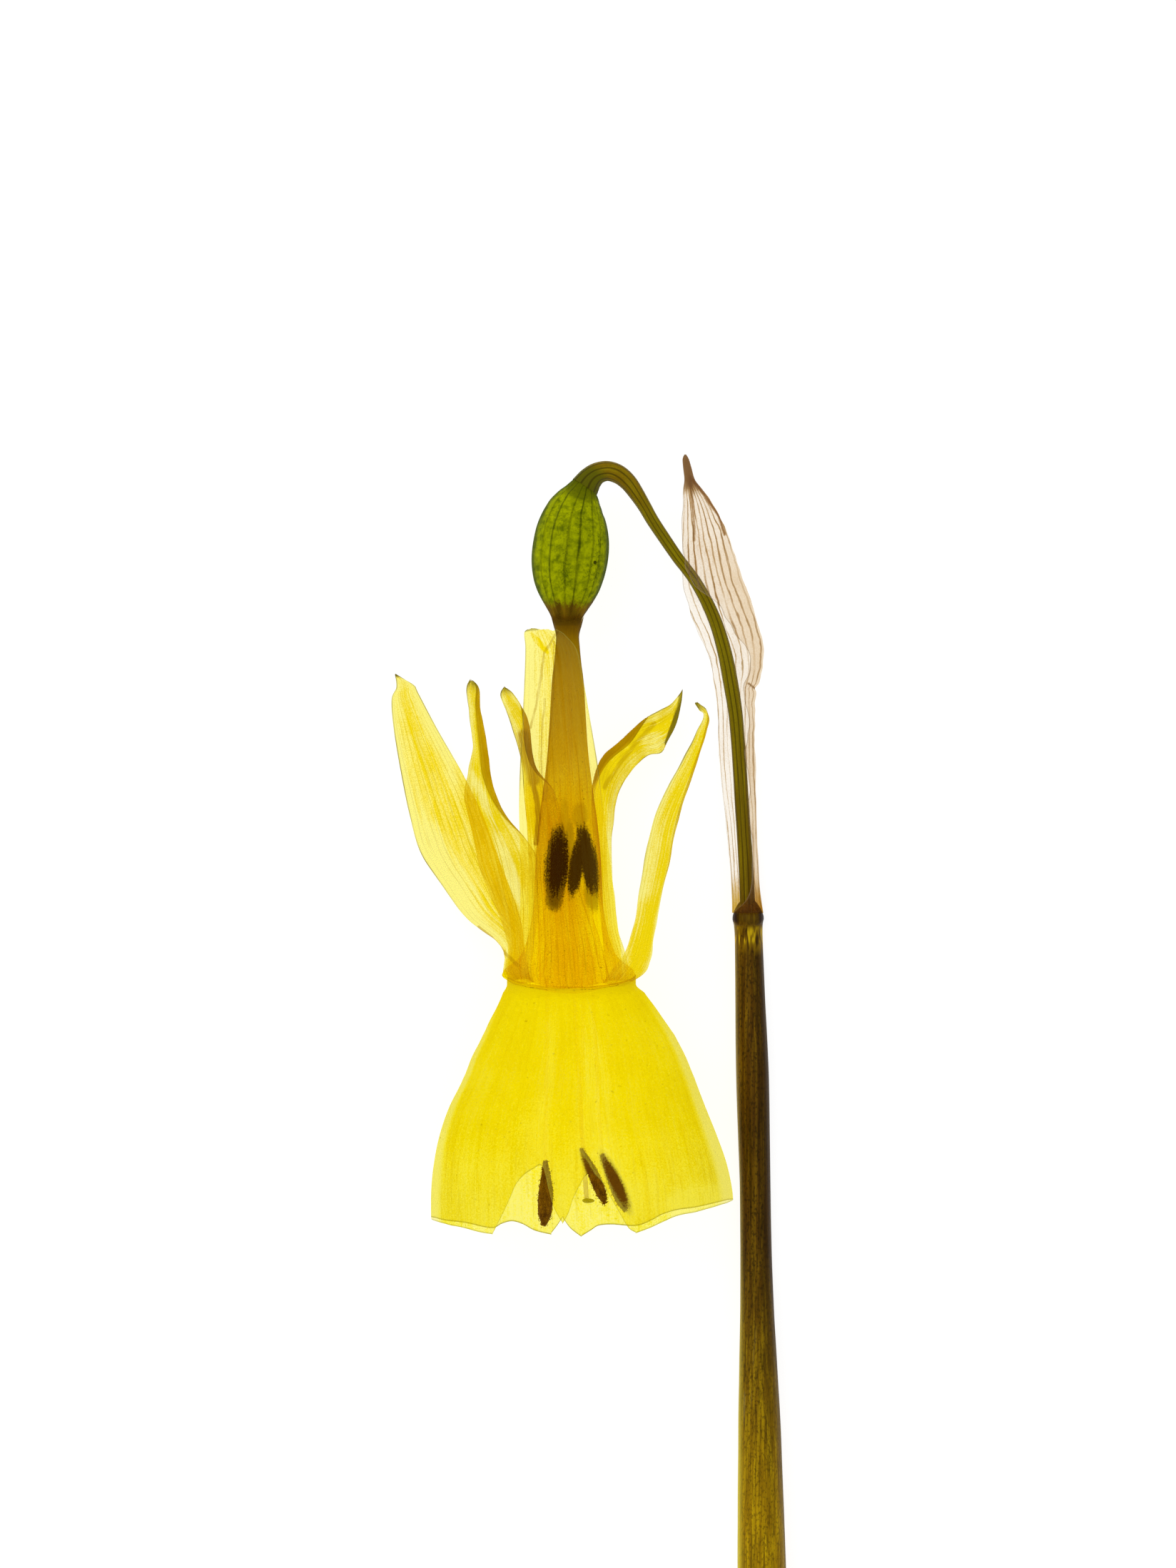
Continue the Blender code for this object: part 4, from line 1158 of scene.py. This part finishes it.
def stem_finish():
    """Dark brown that turns olive from Y -20 to -50, streaked lengthwise, with a dark ring at the joint."""
    finish = Finish("stem olive brown")
    _, y = finish.plan()
    u, _ = finish.across_and_along()
    streak = finish.cloud((0.26, 16.0, 0.26), 4.0, 0.6)
    fine = finish.cloud((0.13, 6.0, 0.13), 2.0, 0.6)
    grain = finish.cloud((0.16, 0.30, 0.16), 2.0, 0.6)
    low = y.ramp(-20.0, -50.0)
    # left and right say where the painted highlight and the painted shade lie on the stem.
    left = u.near(0.5, 0.13) * y.ramp(-63.6, -62.9)
    right = (u - 0.5).size().ramp(0.36, 0.5)
    dark, olive, warm = (0.108, 0.046, 0.002), (0.49, 0.275, 0.002), (0.140, 0.063, 0.002)
    light = finish.blend(low, (0.30, 0.165, 0.004), (0.92, 0.61, 0.004))
    shade = finish.blend(low, (0.022, 0.010, 0.001), (0.15, 0.085, 0.002))
    # A painted highlight: a pale glossy streak along the stem.
    gleam = finish.cloud((0.55, 9.0, 0.55), 1.0).ramp(0.64, 0.74) * y.ramp(-28.0, -36.0)
    window = finish.cloud((0.32, 2.2, 0.32), 2.0)
    ends = u.off_side().ramp(0.38, 0.16)
    joint = (y + (window - 0.5) * 0.8).near(5.65, 0.80, 0.20)
    colour = finish.layers(
        dark, (low, olive), (y.ramp(-12.0, 3.0) * 0.7, warm), (streak.lift(0.46, 5.5) * 0.85, light),
        (fine.lift(0.50, 6.0) * 0.75, shade), (grain.lift(0.50, 7.0) * 0.70, shade),
        # Painted light: the right third and the right edge darker with painted shade, the left edge lighter with a
        # painted highlight, strongest low down, and a pale painted gleam.
        ((u - 0.5).size().ramp(0.27, 0.33) * (0.55 - low * 0.35), shade),
        ((left * (low * 0.95 + 0.25)).within(), (0.98, 0.80, 0.012)), (right * 0.6, (0.05, 0.024, 0.002)),
        (gleam * u.near(0.30, 0.12) * 0.6, (0.62, 0.52, 0.18)),
        (y.near(3.9, 1.7, 0.3) * window.ramp(0.36, 0.58) * 0.75, (0.42, 0.24, 0.003)),
        (y.near(4.1, 0.9, 0.3) * window.ramp(0.50, 0.60) * 0.9, (0.85, 0.58, 0.008)),
        (y.ramp(5.0, 5.6), finish.blend(streak.ramp(0.42, 0.58), (0.16, 0.085, 0.003), (0.26, 0.15, 0.003))),
        (joint * (ends * 0.95 + 0.25).within(), (0.030, 0.010, 0.002)),
        (y.ramp(-62.8, -63.4) * 0.75, (0.46, 0.38, 0.08)),
    )
    face = finish.shine(colour, 0.42, 0.06, streak * 0.8 + fine * 0.6, 0.6, 0.06)
    through = finish.scatter((0.90, 0.72, 0.005))
    return finish.done(finish.mix(low * 0.10 + left * low * 0.15 + 0.05, face, through))


make_piece("stem_skin", stem_points, stem_finish(), "stem", nodes=["stem"], around=True, closed=True)

# %% [markdown]
# ## Flower stalk and ovary
#
# The thin stalk climbs inside the spathe, leaves it and hooks over, so that the flower nods. It widens into the
# ovary, an egg with six shallow furrows. Both are sweeps. A scaled sphere would do for a plain egg, but not for the
# furrows or for the way it runs into the tube.

# %% Stalk and ovary stations
STALK = [
    (15.13, 5.6, 1.34, 0.66), (15.08, 7.2, 1.36, 0.63), (14.95, 10.0, 1.42, 0.62), (14.78, 12.8, 1.48, 0.60),
    (14.60, 15.5, 1.55, 0.60), (14.45, 18.0, 1.62, 0.59), (14.28, 20.5, 1.72, 0.58), (14.06, 23.0, 1.83, 0.60),
    (13.66, 25.5, 1.95, 0.63), (13.16, 28.0, 2.08, 0.60), (12.50, 30.3, 2.20, 0.56), (11.65, 32.3, 2.34, 0.52),
    (10.70, 34.0, 2.50, 0.49), (9.90, 35.1, 2.66, 0.48), (9.20, 36.0, 2.84, 0.49), (8.10, 37.6, 3.14, 0.51),
    (7.10, 39.1, 3.56, 0.53), (6.40, 40.3, 3.96, 0.57), (5.70, 41.4, 4.32, 0.65), (5.00, 42.35, 4.66, 0.74),
    (4.20, 43.0, 4.94, 0.80), (3.30, 43.28, 5.16, 0.84), (2.45, 43.1, 5.32, 0.92), (1.80, 42.6, 5.42, 1.05),
    (1.30, 41.9, 5.48, 1.22),
]
OVARY = [
    (1.62, 42.4, 5.45, 0.85), (1.26, 41.84, 5.50, 1.20), (1.00, 41.2, 5.52, 1.68), (0.79, 40.6, 5.55, 2.10),
    (0.59, 39.9, 5.58, 2.49), (0.42, 39.0, 5.62, 2.85), (0.29, 38.0, 5.68, 3.10), (0.18, 36.8, 5.74, 3.23),
    (0.05, 35.6, 5.80, 3.21), (-0.03, 34.4, 5.87, 3.02), (-0.07, 33.3, 5.94, 2.68), (-0.10, 32.4, 5.99, 2.22),
    (-0.13, 31.6, 6.03, 1.72), (-0.15, 31.0, 6.06, 1.36), (-0.15, 30.3, 6.09, 1.06),
]
SEAMS = 6


def seams(angle, v):
    """1 - 0.035 for six shallow furrows, strongest half way along."""
    return 1 - 0.035 * np.sin(math.pi * v) ** 0.7 * np.exp(-((np.sin(SEAMS * angle / 2 + 0.5) / 0.35) ** 2))


def stalk_ridges(angle, v):
    """1 + 0.03 cos (5a + 3v), so that five ridges turn a little on the way, and some unevenness."""
    return 1 + 0.03 * np.cos(5 * angle + 3 * v) + 0.012 * ripple(angle * 2, v * 40, 51)


stalk_points, ovary_points = sweep(STALK, 56, 560, stalk_ridges), sweep(OVARY, 160, 240, seams)
print("stalk", round(path_length(np.array(STALK)[:, :3]), 1), "mm, ovary", round(np.ptp(ovary_points[..., 1]), 1), "mm")

# %% [markdown]
# ## The stalk's finish
#
# The stalk is olive, browner where it hooks over, with fine dark lines that run on into the ovary. Where the two
# meet they share a green, laid over both finishes by one function, so that no seam shows between the pieces.

# %% Stalk finish


def shoulder(x, y):
    """The share and the colour of the green that the stalk and the ovary have in common where they meet."""
    return oval(x, y, (1.4, 42.2), (2.1, 1.7)).ramp(1.3, 0.3) * 0.85, (0.145, 0.165, 0.002)


def olive_finish():
    """Olive, browner over the hook, with fine dark lines that run on into the ovary."""
    finish = Finish("stalk olive")
    u, v = finish.across_and_along()
    x, y = finish.plan()
    streak = finish.pattern(u * 12.0, v * 8.0, 0.0, 4.0, 0.6)
    sway = finish.pattern(u * 2.0, v * 6.0, detail=1.0) - 0.5
    line = (u * 10.0 + sway).lines(0.58, 0.92)
    grain = finish.cloud(*GRAIN)
    # Painted shade: both sides are darker, where the round stalk turns edge-on.
    sides = u.off_side().ramp(0.18, 0.03)
    colour = finish.layers(
        (0.33, 0.26, 0.002), (v.ramp(0.62, 0.80), (0.37, 0.23, 0.002)),
        (v.ramp(0.36, 0.02) * 0.9, (0.21, 0.115, 0.003)), (streak.lift(0.44, 3.6) * 0.75, (0.56, 0.46, 0.004)),
        (grain.lift(0.50, 4.0) * 0.4, (0.13, 0.09, 0.002)), shoulder(x, y), (line * 0.7, (0.05, 0.035, 0.002)),
        (sides * 0.65, (0.08, 0.055, 0.002)),
    )
    face = finish.shine(colour, 0.45, 0.06, streak + grain * 0.3 - line * 0.4, 0.5, 0.05)
    through = finish.scatter((0.50, 0.38, 0.002))
    return finish.done(finish.mix(0.22, face, through))


make_piece("stalk_skin", stalk_points, olive_finish(), "stalk", nodes=["flower_stalk"], around=True, closed=True)

# %% [markdown]
# ## The ovary's finish
#
# Veins run from pole to pole on a mottled lime green. Behind the skin the rows of young seeds show as a faint
# ladder on either side of a vein. Seeds inside a see-through ovary would be the true way, but the skin is nearly
# opaque, and dark bars on it look the same.

# %% Ovary finish
VEINS = [  # where a vein runs round the ovary, as a share of the turn, and its strength
    (0.1125, 0.6), (0.1625, 0.9), (0.2347, 0.7), (0.2844, 1.0), (0.3467, 0.7), (0.3878, 0.6), (0.47, 0.7),
    (0.56, 0.8), (0.66, 0.9), (0.77, 0.8), (0.88, 0.9), (0.97, 0.7),
]


def ovary_finish():
    """Veins from pole to pole, and faint ladders where the seeds lie, on a mottled lime green."""
    finish = Finish("ovary green")
    u, v = finish.across_and_along()
    x, y = finish.plan()
    sway = (finish.pattern(u * 7.0, v * 5.0) - 0.5) * 0.022
    fade = finish.pattern(u * 15.0, v * 3.0, 2.0, 2.0)
    lines = strongest([(u + sway).near(place, 0.0085, 0.002) * strength for place, strength in VEINS])
    beside = strongest([u.near(place, 0.040, 0.012) for place, _ in VEINS])
    lines = lines * (fade - 0.28).ramp(-0.12, 0.14)
    wiggle = finish.pattern(u * 40.0, v * 16.0) - 0.5
    ladder = (v * 27.0 + wiggle * 4.0).lines(0.62, 0.92) * (beside * 0.5 + 0.5)
    ladder = ladder * v.near(0.50, 0.34, 0.14) * fade.ramp(0.36, 0.56)
    cells = finish.pattern(u * 26.0, v * 30.0, 5.0, 2.0, 0.5)
    mottle = finish.cloud((0.6, 1.0, 0.6), 3.0, 0.6) * 0.5 + cells * 0.5
    grain = finish.cloud(*GRAIN)
    # Painted shade: both sides are darker green and let less light through, where the round ovary turns edge-on.
    sides = u.off_side().ramp(0.25, 0.07)
    speck = oval(x, y, (2.22, 35.5), (0.16, 0.16)).ramp(1.3, 0.5) * u.ramp(0.52, 0.48)
    foot = (y + (fade - 0.5) * 1.3 + (grain - 0.5) * 1.6).ramp(32.6, 31.7)
    colour = finish.layers(
        (0.20, 0.25, 0.001), (mottle.lift(0.36, 3.6), (0.90, 1.00, 0.002)),
        (grain.lift(0.50, 5.0) * 0.40, (0.12, 0.18, 0.002)), (beside * 0.12, (0.13, 0.18, 0.002)),
        (ladder * 0.62, (0.06, 0.10, 0.002)), ((v - 0.5).size().ramp(0.36, 0.50) * 0.6, (0.13, 0.15, 0.002)),
        shoulder(x, y), (sides * 0.90, (0.055, 0.085, 0.001)), (lines * 0.75, (0.040, 0.055, 0.001)),
        (speck * 0.9, (0.02, 0.02, 0.001)),
        (foot, finish.blend(fade.lift(0.40, 4.0), (0.13, 0.070, 0.003), (0.28, 0.16, 0.004))),
    )
    face = finish.shine(colour, 0.5, 0.01, mottle * 0.5 - lines * 1.2 + grain * 0.3, 0.5, 0.06)
    through = finish.scatter((0.62, 0.64, 0.002))
    share = (mottle - 0.2) * 0.95 - sides * 0.5 - lines * 0.25 - foot * 0.2 - ladder * 0.15
    return finish.done(finish.mix(share.within(0.02, 0.45), face, through))


make_piece("ovary_skin", ovary_points, ovary_finish(), "ovary", nodes=["ovary"], around=True, closed=True)

# %% [markdown]
# ## Spathe
#
# The papery sheath that once held the bud is an open scroll: a station gives its middle, its size, and how far its
# lower and its upper flap wrap round from the right-hand side. Where both wrap far it is a closed tube, and where
# they do not it gapes to the left. It is crumpled a little. A cloth simulation could crumple it, but dry paper
# keeps the folds it has.

# %% Spathe shape
SPATHE = [  # Y, X, half-width, half-depth, height, lower wrap, upper wrap
    (6.00, 15.13, 1.32, 1.28, 1.38, 0.99, 0.86), (7.20, 15.03, 1.24, 1.22, 1.40, 0.98, 0.50),
    (9.20, 14.88, 1.20, 1.18, 1.44, 0.97, 0.33), (12.0, 14.68, 1.27, 1.18, 1.48, 0.97, 0.31),
    (14.6, 14.50, 1.38, 1.20, 1.50, 0.96, 0.31), (17.3, 14.33, 1.49, 1.24, 1.55, 0.96, 0.33),
    (20.0, 14.20, 1.56, 1.28, 1.60, 0.95, 0.32), (22.7, 14.13, 1.62, 1.34, 1.66, 0.94, 0.32),
    (24.8, 14.12, 1.75, 1.42, 1.72, 0.93, 0.34), (26.7, 14.18, 2.22, 1.55, 1.80, 0.92, 0.36),
    (28.3, 13.92, 2.55, 1.66, 1.88, 0.90, 0.38), (30.2, 13.32, 2.76, 1.75, 1.98, 0.88, 0.44),
    (32.1, 12.62, 2.84, 1.82, 2.08, 0.86, 0.52), (33.9, 12.12, 2.74, 1.82, 2.16, 0.85, 0.72),
    (36.5, 11.66, 2.30, 1.62, 2.26, 0.86, 0.84), (38.6, 11.32, 1.85, 1.36, 2.30, 0.90, 0.90),
    (40.4, 10.94, 1.32, 1.02, 2.28, 0.93, 0.93), (41.7, 10.50, 0.86, 0.70, 2.22, 0.95, 0.95),
    (42.6, 10.22, 0.46, 0.46, 2.16, 0.97, 0.97), (43.6, 10.02, 0.36, 0.36, 2.08, 0.97, 0.97),
    (44.35, 9.88, 0.27, 0.27, 2.02, 0.97, 0.97), (44.75, 9.84, 0.08, 0.10, 2.00, 0.97, 0.97),
]


def spathe_shape(columns=160, rows=380):
    """At angle a = pi (u upper - (1 - u) lower): x = middle + half-width cos a, z = height + half-depth sin a, both
    uneven by a few hundredths."""
    u, v = grid(columns, rows)
    y, x, half_width, half_depth, height, lower, upper = np.moveaxis(curve(SPATHE, v), -1, 0)
    angle = math.pi * (u * upper - (1 - u) * lower)
    crumple = ripple(angle * 3.0, y * 1.1, 61) * 0.05 + ripple(angle * 9, y * 0.5, 62) * 0.022
    crumple = crumple * soft(6.0, 12.0, y) * soft(44.5, 40.0, y)
    right = soft(0.3, 0.9, np.cos(angle))
    nick = 0.07 * ripple(y * 2.4, 0, 64) * soft(12, 26, y) * soft(43, 40, y)
    nick = -0.20 * np.exp(-(((y - 25.0) / 0.22) ** 2)) + nick
    half_width = half_width + nick * right
    near_edge = soft(0.8, 1, u) + soft(0.2, 0, u)
    ragged = 0.14 * ripple(y * 1.6, 0, 63) * near_edge * soft(6, 14, y) * soft(43, 38, y)
    angle = angle + ragged * np.sign(u - 0.5)
    points = np.stack([
        x + (half_width + crumple) * np.cos(angle), y, height + (half_depth + crumple) * np.sin(angle),
    ], axis=-1)
    edge = np.minimum(u, 1 - u) * math.pi * half_width * (lower + upper)
    return lying(points, 0.06), edge, np.cos(angle)


spathe_points, spathe_edge, spathe_across = spathe_shape()
print("the spathe is", round(np.ptp(spathe_points[..., 1]), 1), "mm long")

# %% [markdown]
# ## The spathe's finish
#
# The sheath is dry and nearly colourless, so its brown veins show, and so does the stalk behind it. The veins
# follow the cosine of the angle instead of u, so that those of the two flaps lie over each other as they do on real
# paper. It is browner at its foot and at its tip, and painted shade darkens two folds and the curl at a tear.

# %% Spathe finish


def spathe_finish():
    """Dry and pale, browner at its foot and at its tip. The veins of its two flaps lie over each other."""
    finish = Finish("papery spathe")
    u, v = finish.across_and_along()
    x, y = finish.plan()
    side = finish.number("across")
    sway = finish.pattern(side * 1.5, v * 9.0, detail=4.0) - 0.5
    veins = (side * 4.4 + sway * 1.5).lines(0.70, 0.95)
    strong = finish.pattern(side * 4.0, v * 6.0, 7.0).ramp(0.36, 0.60)
    veins = veins * (0.25 + strong * 0.75)
    fibre = finish.pattern(u * 60.0, v * 14.0, 0.0, 4.0, 0.7)
    blotch = finish.cloud((1.1, 2.8, 1.1), 4.0)
    grain = finish.cloud(*GRAIN)
    tip = (y + (blotch - 0.5) * 2.5).ramp(41.2, 42.8)
    foot = (y + (blotch - 0.5) * 3.0).ramp(9.8, 6.2)
    bent = x + (blotch - 0.5) * 0.5
    # Painted shade along two folds and where the torn edge curls.
    fold = crease(bent, y, [(10.5, 42.6), (11.5, 41.3), (12.65, 39.5), (13.2, 38.0)], 0.20)
    spine = crease(bent, y, [(10.3, 42.8), (10.45, 40.5), (10.6, 37.5)], 0.22) * 0.7
    torn = crease(x, y, [(15.2, 25.4), (15.7, 25.0), (16.2, 25.1)], 0.16)
    fold = fold.most(spine).most(torn)
    outline = finish.number("edge").ramp(0.16, 0.04)
    pale, brown = (0.83, 0.73, 0.57), (0.30, 0.15, 0.045)
    depth = veins * 0.9 + tip * 0.8 + foot * 0.9 + fold * 0.9 + (fibre - 0.5) * 0.5 + (blotch - 0.5) * 0.6
    depth = depth + (grain - 0.5) * 0.9 + side.ramp(-0.2, 0.9) * y.ramp(38.0, 33.0) * 0.16
    share = 0.08 + veins * 0.35 + tip * 0.40 + foot * 0.05 + fold * 0.35 + outline * 0.40 + (fibre - 0.5) * 0.12
    clear = ((0.965, 0.925, 0.865), (0.60, 0.37, 0.10))
    glow = ((0.86, 0.74, 0.56), (0.50, 0.25, 0.03))
    bump = fibre * 0.5 + veins * 0.8
    dull = (veins * (1.0 - foot) + tip + outline + fold).within()
    tints = [(side.ramp(-0.3, 0.8) * y.ramp(40.0, 34.0) * 0.6, (0.92, 0.83, 0.69)),
             (veins * 0.5, (0.62, 0.42, 0.16)), (foot * (fibre - 0.38).ramp(0.0, 0.25, 0.5, 1.0), (0.66, 0.43, 0.03))]
    colour = finish.layers(
        pale, (blotch.lift(0.42, 2.6) * 0.6, (0.66, 0.49, 0.28)), (veins * 0.9, brown),
        (tip * 0.85, (0.24, 0.12, 0.04)), (foot * 0.85, (0.30, 0.15, 0.010)), (fold * 0.9, (0.28, 0.12, 0.03)),
        (outline * 0.7, (0.34, 0.20, 0.08)),
    )
    return film(finish, depth.within(), share.within(0.04, 0.95), colour, bump, clear, glow, dull, tints, rough=0.6)


make_piece("spathe_film", spathe_points, spathe_finish(), "spathe", nodes=["spathe"], edge=spathe_edge,
           across=spathe_across)

# %% [markdown]
# ## Stamens
#
# Six stamens stand in two whorls: three reach the mouth of the corona and three stay in the tube. An anther is a
# long drop with a furrow down its face, where it split to let the pollen out. It is a sweep whose radius follows a
# power of a sine, which is rounder at one end than a scaled sphere would be.

# %% Anther shape
STAMENS = {  # start of the filament, base and tip of the anther (X, Y, height above the axis), radius
    "long_left": ((-1.75, 4.6, 0.6), (-1.95, -14.7, 1.6), (-2.08, -20.1, 1.9), 0.62),
    "long_middle": ((1.30, 4.6, -1.2), (1.05, -13.8, -1.6), (3.05, -18.4, -1.9), 0.46),
    "long_right": ((1.75, 4.6, 1.0), (2.75, -14.2, 1.3), (4.75, -18.9, 1.4), 0.52),
    "short_left": ((-0.60, 17.4, 0.55), (-0.85, 13.1, 0.60), (-1.26, 6.7, 0.65), 0.80),
    "short_middle": ((0.62, 17.2, 0.20), (1.00, 13.0, 0.20), (0.32, 8.0, 0.20), 0.50),
    "short_right": ((1.00, 17.4, 0.55), (1.30, 13.0, 0.60), (2.02, 7.7, 0.60), 0.54),
}


def drop(base, tip, radius, fat=0.62):
    """r = radius (0.25 + 0.75 sin(pi t^k)^0.7), with k set so that the drop is widest at the share fat."""
    t = np.linspace(0, 1, 9)
    power = math.log(0.5) / math.log(fat)
    size = radius * (0.25 + 0.75 * np.sin(math.pi * t**power) ** 0.7)
    line = base + (tip - base) * t[:, None]
    line[:, 0] += 0.10 * np.sin(math.pi * t)
    return np.column_stack([line, size])


def furrow(angle, v):
    """Two lobes: 1 - 0.22 where the furrow runs along the top."""
    return 1 - 0.22 * np.exp(-(((angle - math.pi / 2) / 0.35) ** 2)) + 0.04 * ripple(angle * 3, v * 12, 71)


print("the longest anther is", max(round(math.dist(base, tip), 1) for _, base, tip, _ in STAMENS.values()), "mm long")

# %% [markdown]
# ## Pollen
#
# The pollen is real geometry, small grains strewn over the anther, so that its outline is soft. A rough finish on a
# smooth drop would keep a sharp outline. Each grain is an octahedron, which is as few faces as still look like a
# grain.

# %% Pollen
POLLEN_SIZE, POLLEN_SPREAD, POLLEN_COUNT = 0.042, 0.07, 1500


def grains(spots, size, seed):
    """Each grain is an octahedron: six points at size from its middle, and eight faces."""
    corners = np.array([(1, 0, 0), (-1, 0, 0), (0, 1, 0), (0, -1, 0), (0, 0, 1), (0, 0, -1)], float)
    faces = np.array([(0, 2, 4), (2, 1, 4), (1, 3, 4), (3, 0, 4), (2, 0, 5), (1, 2, 5), (3, 1, 5), (0, 3, 5)])
    sizes = size * np.random.default_rng(seed).uniform(0.6, 1.3, len(spots))
    places = spots[:, None, :] + corners * sizes[:, None, None]
    numbers = faces + 6 * np.arange(len(spots))[:, None, None]
    return places.reshape(-1, 3), numbers.reshape(-1, 3)


def strewn(points, count, spread, seed):
    """Points drawn on the grid's surface and moved off it at random, more thickly near it."""
    draw = np.random.default_rng(seed)
    rows = draw.integers(0, points.shape[0], count)
    columns = draw.integers(0, points.shape[1], count)
    away = unit(draw.normal(size=(count, 3))) * draw.exponential(spread, count)[:, None]
    return points[rows, columns] + away


def dust(name, points, finish, slot, seed):
    """A piece of loose pollen grains over a grid of points."""
    spots, faces = grains(strewn(points, POLLEN_COUNT, POLLEN_SPREAD, seed), POLLEN_SIZE, seed)
    mesh = bpy.data.meshes.new(name)
    mesh.from_pydata((spots * MM + HOME).tolist(), [], faces.tolist())
    settle(name, mesh, finish, slot)


print("faces for one anther's pollen:", 8 * POLLEN_COUNT)

# %% [markdown]
# ## Finishes for the small parts
#
# Anthers, pollen and stigma have one mottled colour each, so one function serves them all: two colours mixed by a
# noise, and a share of light that comes through. A filament is a clear thread, a film that takes a little blue out
# of the light. Glass would do for a thread, but it bends light, and a thread this fine hardly does.

# %% Finishes for the small parts


def plain_finish(name, colour, second, glow, through, rough=0.5):
    """Two colours mixed by a mottle, and a share through of light that comes out on the far side."""
    finish = Finish(name)
    mottle = finish.cloud((0.3, 0.6, 0.3), 3.0, 0.6)
    tint = finish.blend(mottle.lift(0.35, 3.0), colour, second)
    face = finish.shine(tint, rough, 0.06, mottle, 0.4, 0.05)
    return finish.done(finish.mix(through, face, finish.scatter(glow)))


def filament_finish(name, end):
    """A clear thread that takes a little blue out of the light. Its last millimetres are clouded by the share end."""
    finish = Finish(name)
    _, v = finish.across_and_along()
    depth = finish.cloud((0.2, 3.0, 0.2), 2.0)
    pale, deep = (0.97, 0.90, 0.45), (0.95, 0.80, 0.15)
    clear = ((1.0, 0.99, 0.88), (1.0, 0.975, 0.75))
    colour, share = finish.blend(depth, pale, deep), depth * 0.06 + v.ramp(0.92, 0.97) * end
    return film(finish, depth, share, colour, depth, clear, (pale, deep))


anther_brown = plain_finish("anther brown", (0.13, 0.048, 0.002), (0.34, 0.15, 0.003), (0.2, 0.08, 0.01), 0.05, 0.8)
pollen_gold = plain_finish("pollen gold", (0.30, 0.13, 0.003), (0.55, 0.28, 0.006), (0.6, 0.35, 0.01), 0.2, 0.9)
filament_pale = filament_finish("filament pale", 0.0)
print("nodes in the anther's finish:", len(anther_brown.node_tree.nodes))

# %% [markdown]
# ## The six stamens
#
# Each stamen is three pieces: its thread, its anther and its pollen. The thread bows up a little half way and ends
# just inside the anther, so that no gap shows.

# %% The six stamens
for number, (name, (start, base, tip, radius)) in enumerate(STAMENS.items()):
    start, base, tip = (np.array([x, y, axis_height(y) + rise]) for x, y, rise in (start, base, tip))
    halfway = (start + base) / 2 + (0.0, 0.0, 0.1)
    near_base, inside = base * 0.9 + start * 0.1, base + (tip - base) * 0.12
    thread = [(*start, 0.16), (*halfway, 0.17), (*near_base, 0.15), (*inside, 0.12)]
    make_piece("filament_" + name + "_thread", sweep(thread, 20, 60), filament_pale, "filament",
               nodes=["filament_" + name], around=True, closed=True)
    skin = sweep(drop(base, tip, radius), 48, 80, furrow)
    make_piece("anther_" + name + "_drop", skin, anther_brown, "anther", nodes=["anther_" + name], around=True,
               closed=True)
    dust("pollen_" + name, skin, pollen_gold, "anther", number)

# %% [markdown]
# ## Style and stigma
#
# The style is a thread too, clouded where it leaves the corona's mouth. It ends in a small stigma of three lobes,
# which is a flattened ball whose radius grows and shrinks three times round it. Three small balls joined together
# would look alike, but one formula leaves no seams.

# %% Style and stigma
STYLE = [  # X, Y, height above the axis
    (-0.08, 30.4, 0.0), (0.05, 24.0, 0.0), (0.10, 14.0, 0.05), (0.25, 4.0, 0.1), (0.85, -8.0, 0.0),
    (1.5, -17.9, -0.1),
]
STYLE_RADIUS = 0.20
STIGMA_MIDDLE, STIGMA_RADIUS, STIGMA_HALF_LENGTH = (1.55, -18.1, -0.1), 0.62, 0.20


def stigma_shape(columns=96, rows=40):
    """A flattened ball whose three lobes, 0.60 + 0.40 cos 3a, spread across the end of the style."""
    u, v = grid(columns, rows)
    around, over = 2 * math.pi * u, math.pi * v
    lobes = 0.60 + 0.40 * np.cos(3 * around + 0.2)
    middle_x, middle_y, rise = STIGMA_MIDDLE
    reach = STIGMA_RADIUS * np.sin(over) * lobes
    y = middle_y + STIGMA_HALF_LENGTH * np.cos(over)
    z = axis_height(middle_y) + rise + reach * np.sin(around)
    return np.stack([middle_x + reach * np.cos(around), y, z], axis=-1)


style_line = [(x, y, axis_height(y) + rise, STYLE_RADIUS) for x, y, rise in STYLE]
make_piece("style_thread", sweep(style_line, 24, 200), filament_finish("style pale", 0.55), "style", nodes=["style"],
           around=True, closed=True)
stigma_green = plain_finish("stigma green", (0.50, 0.44, 0.02), (0.75, 0.66, 0.04), (0.85, 0.78, 0.02), 0.6)
make_piece("stigma", stigma_shape(), stigma_green, "style", around=True)

# %% [markdown]
# ## Sizes, and the end
#
# Both boxes, the frame's and the dressed flower's, are measured, and how far each of their sides moved is printed.
# The dressed flower has to keep to the frame's size.

# %% Measure and finish
bpy.context.view_layer.update()
new_low, new_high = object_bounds()
boxes = {"cad": [list(cad_low), list(cad_high)], "visual": [list(new_low), list(new_high)]}
print("grew by", [round((b - a) / MM, 2) for a, b in zip((*cad_low, *cad_high), (*new_low, *new_high))], "mm")
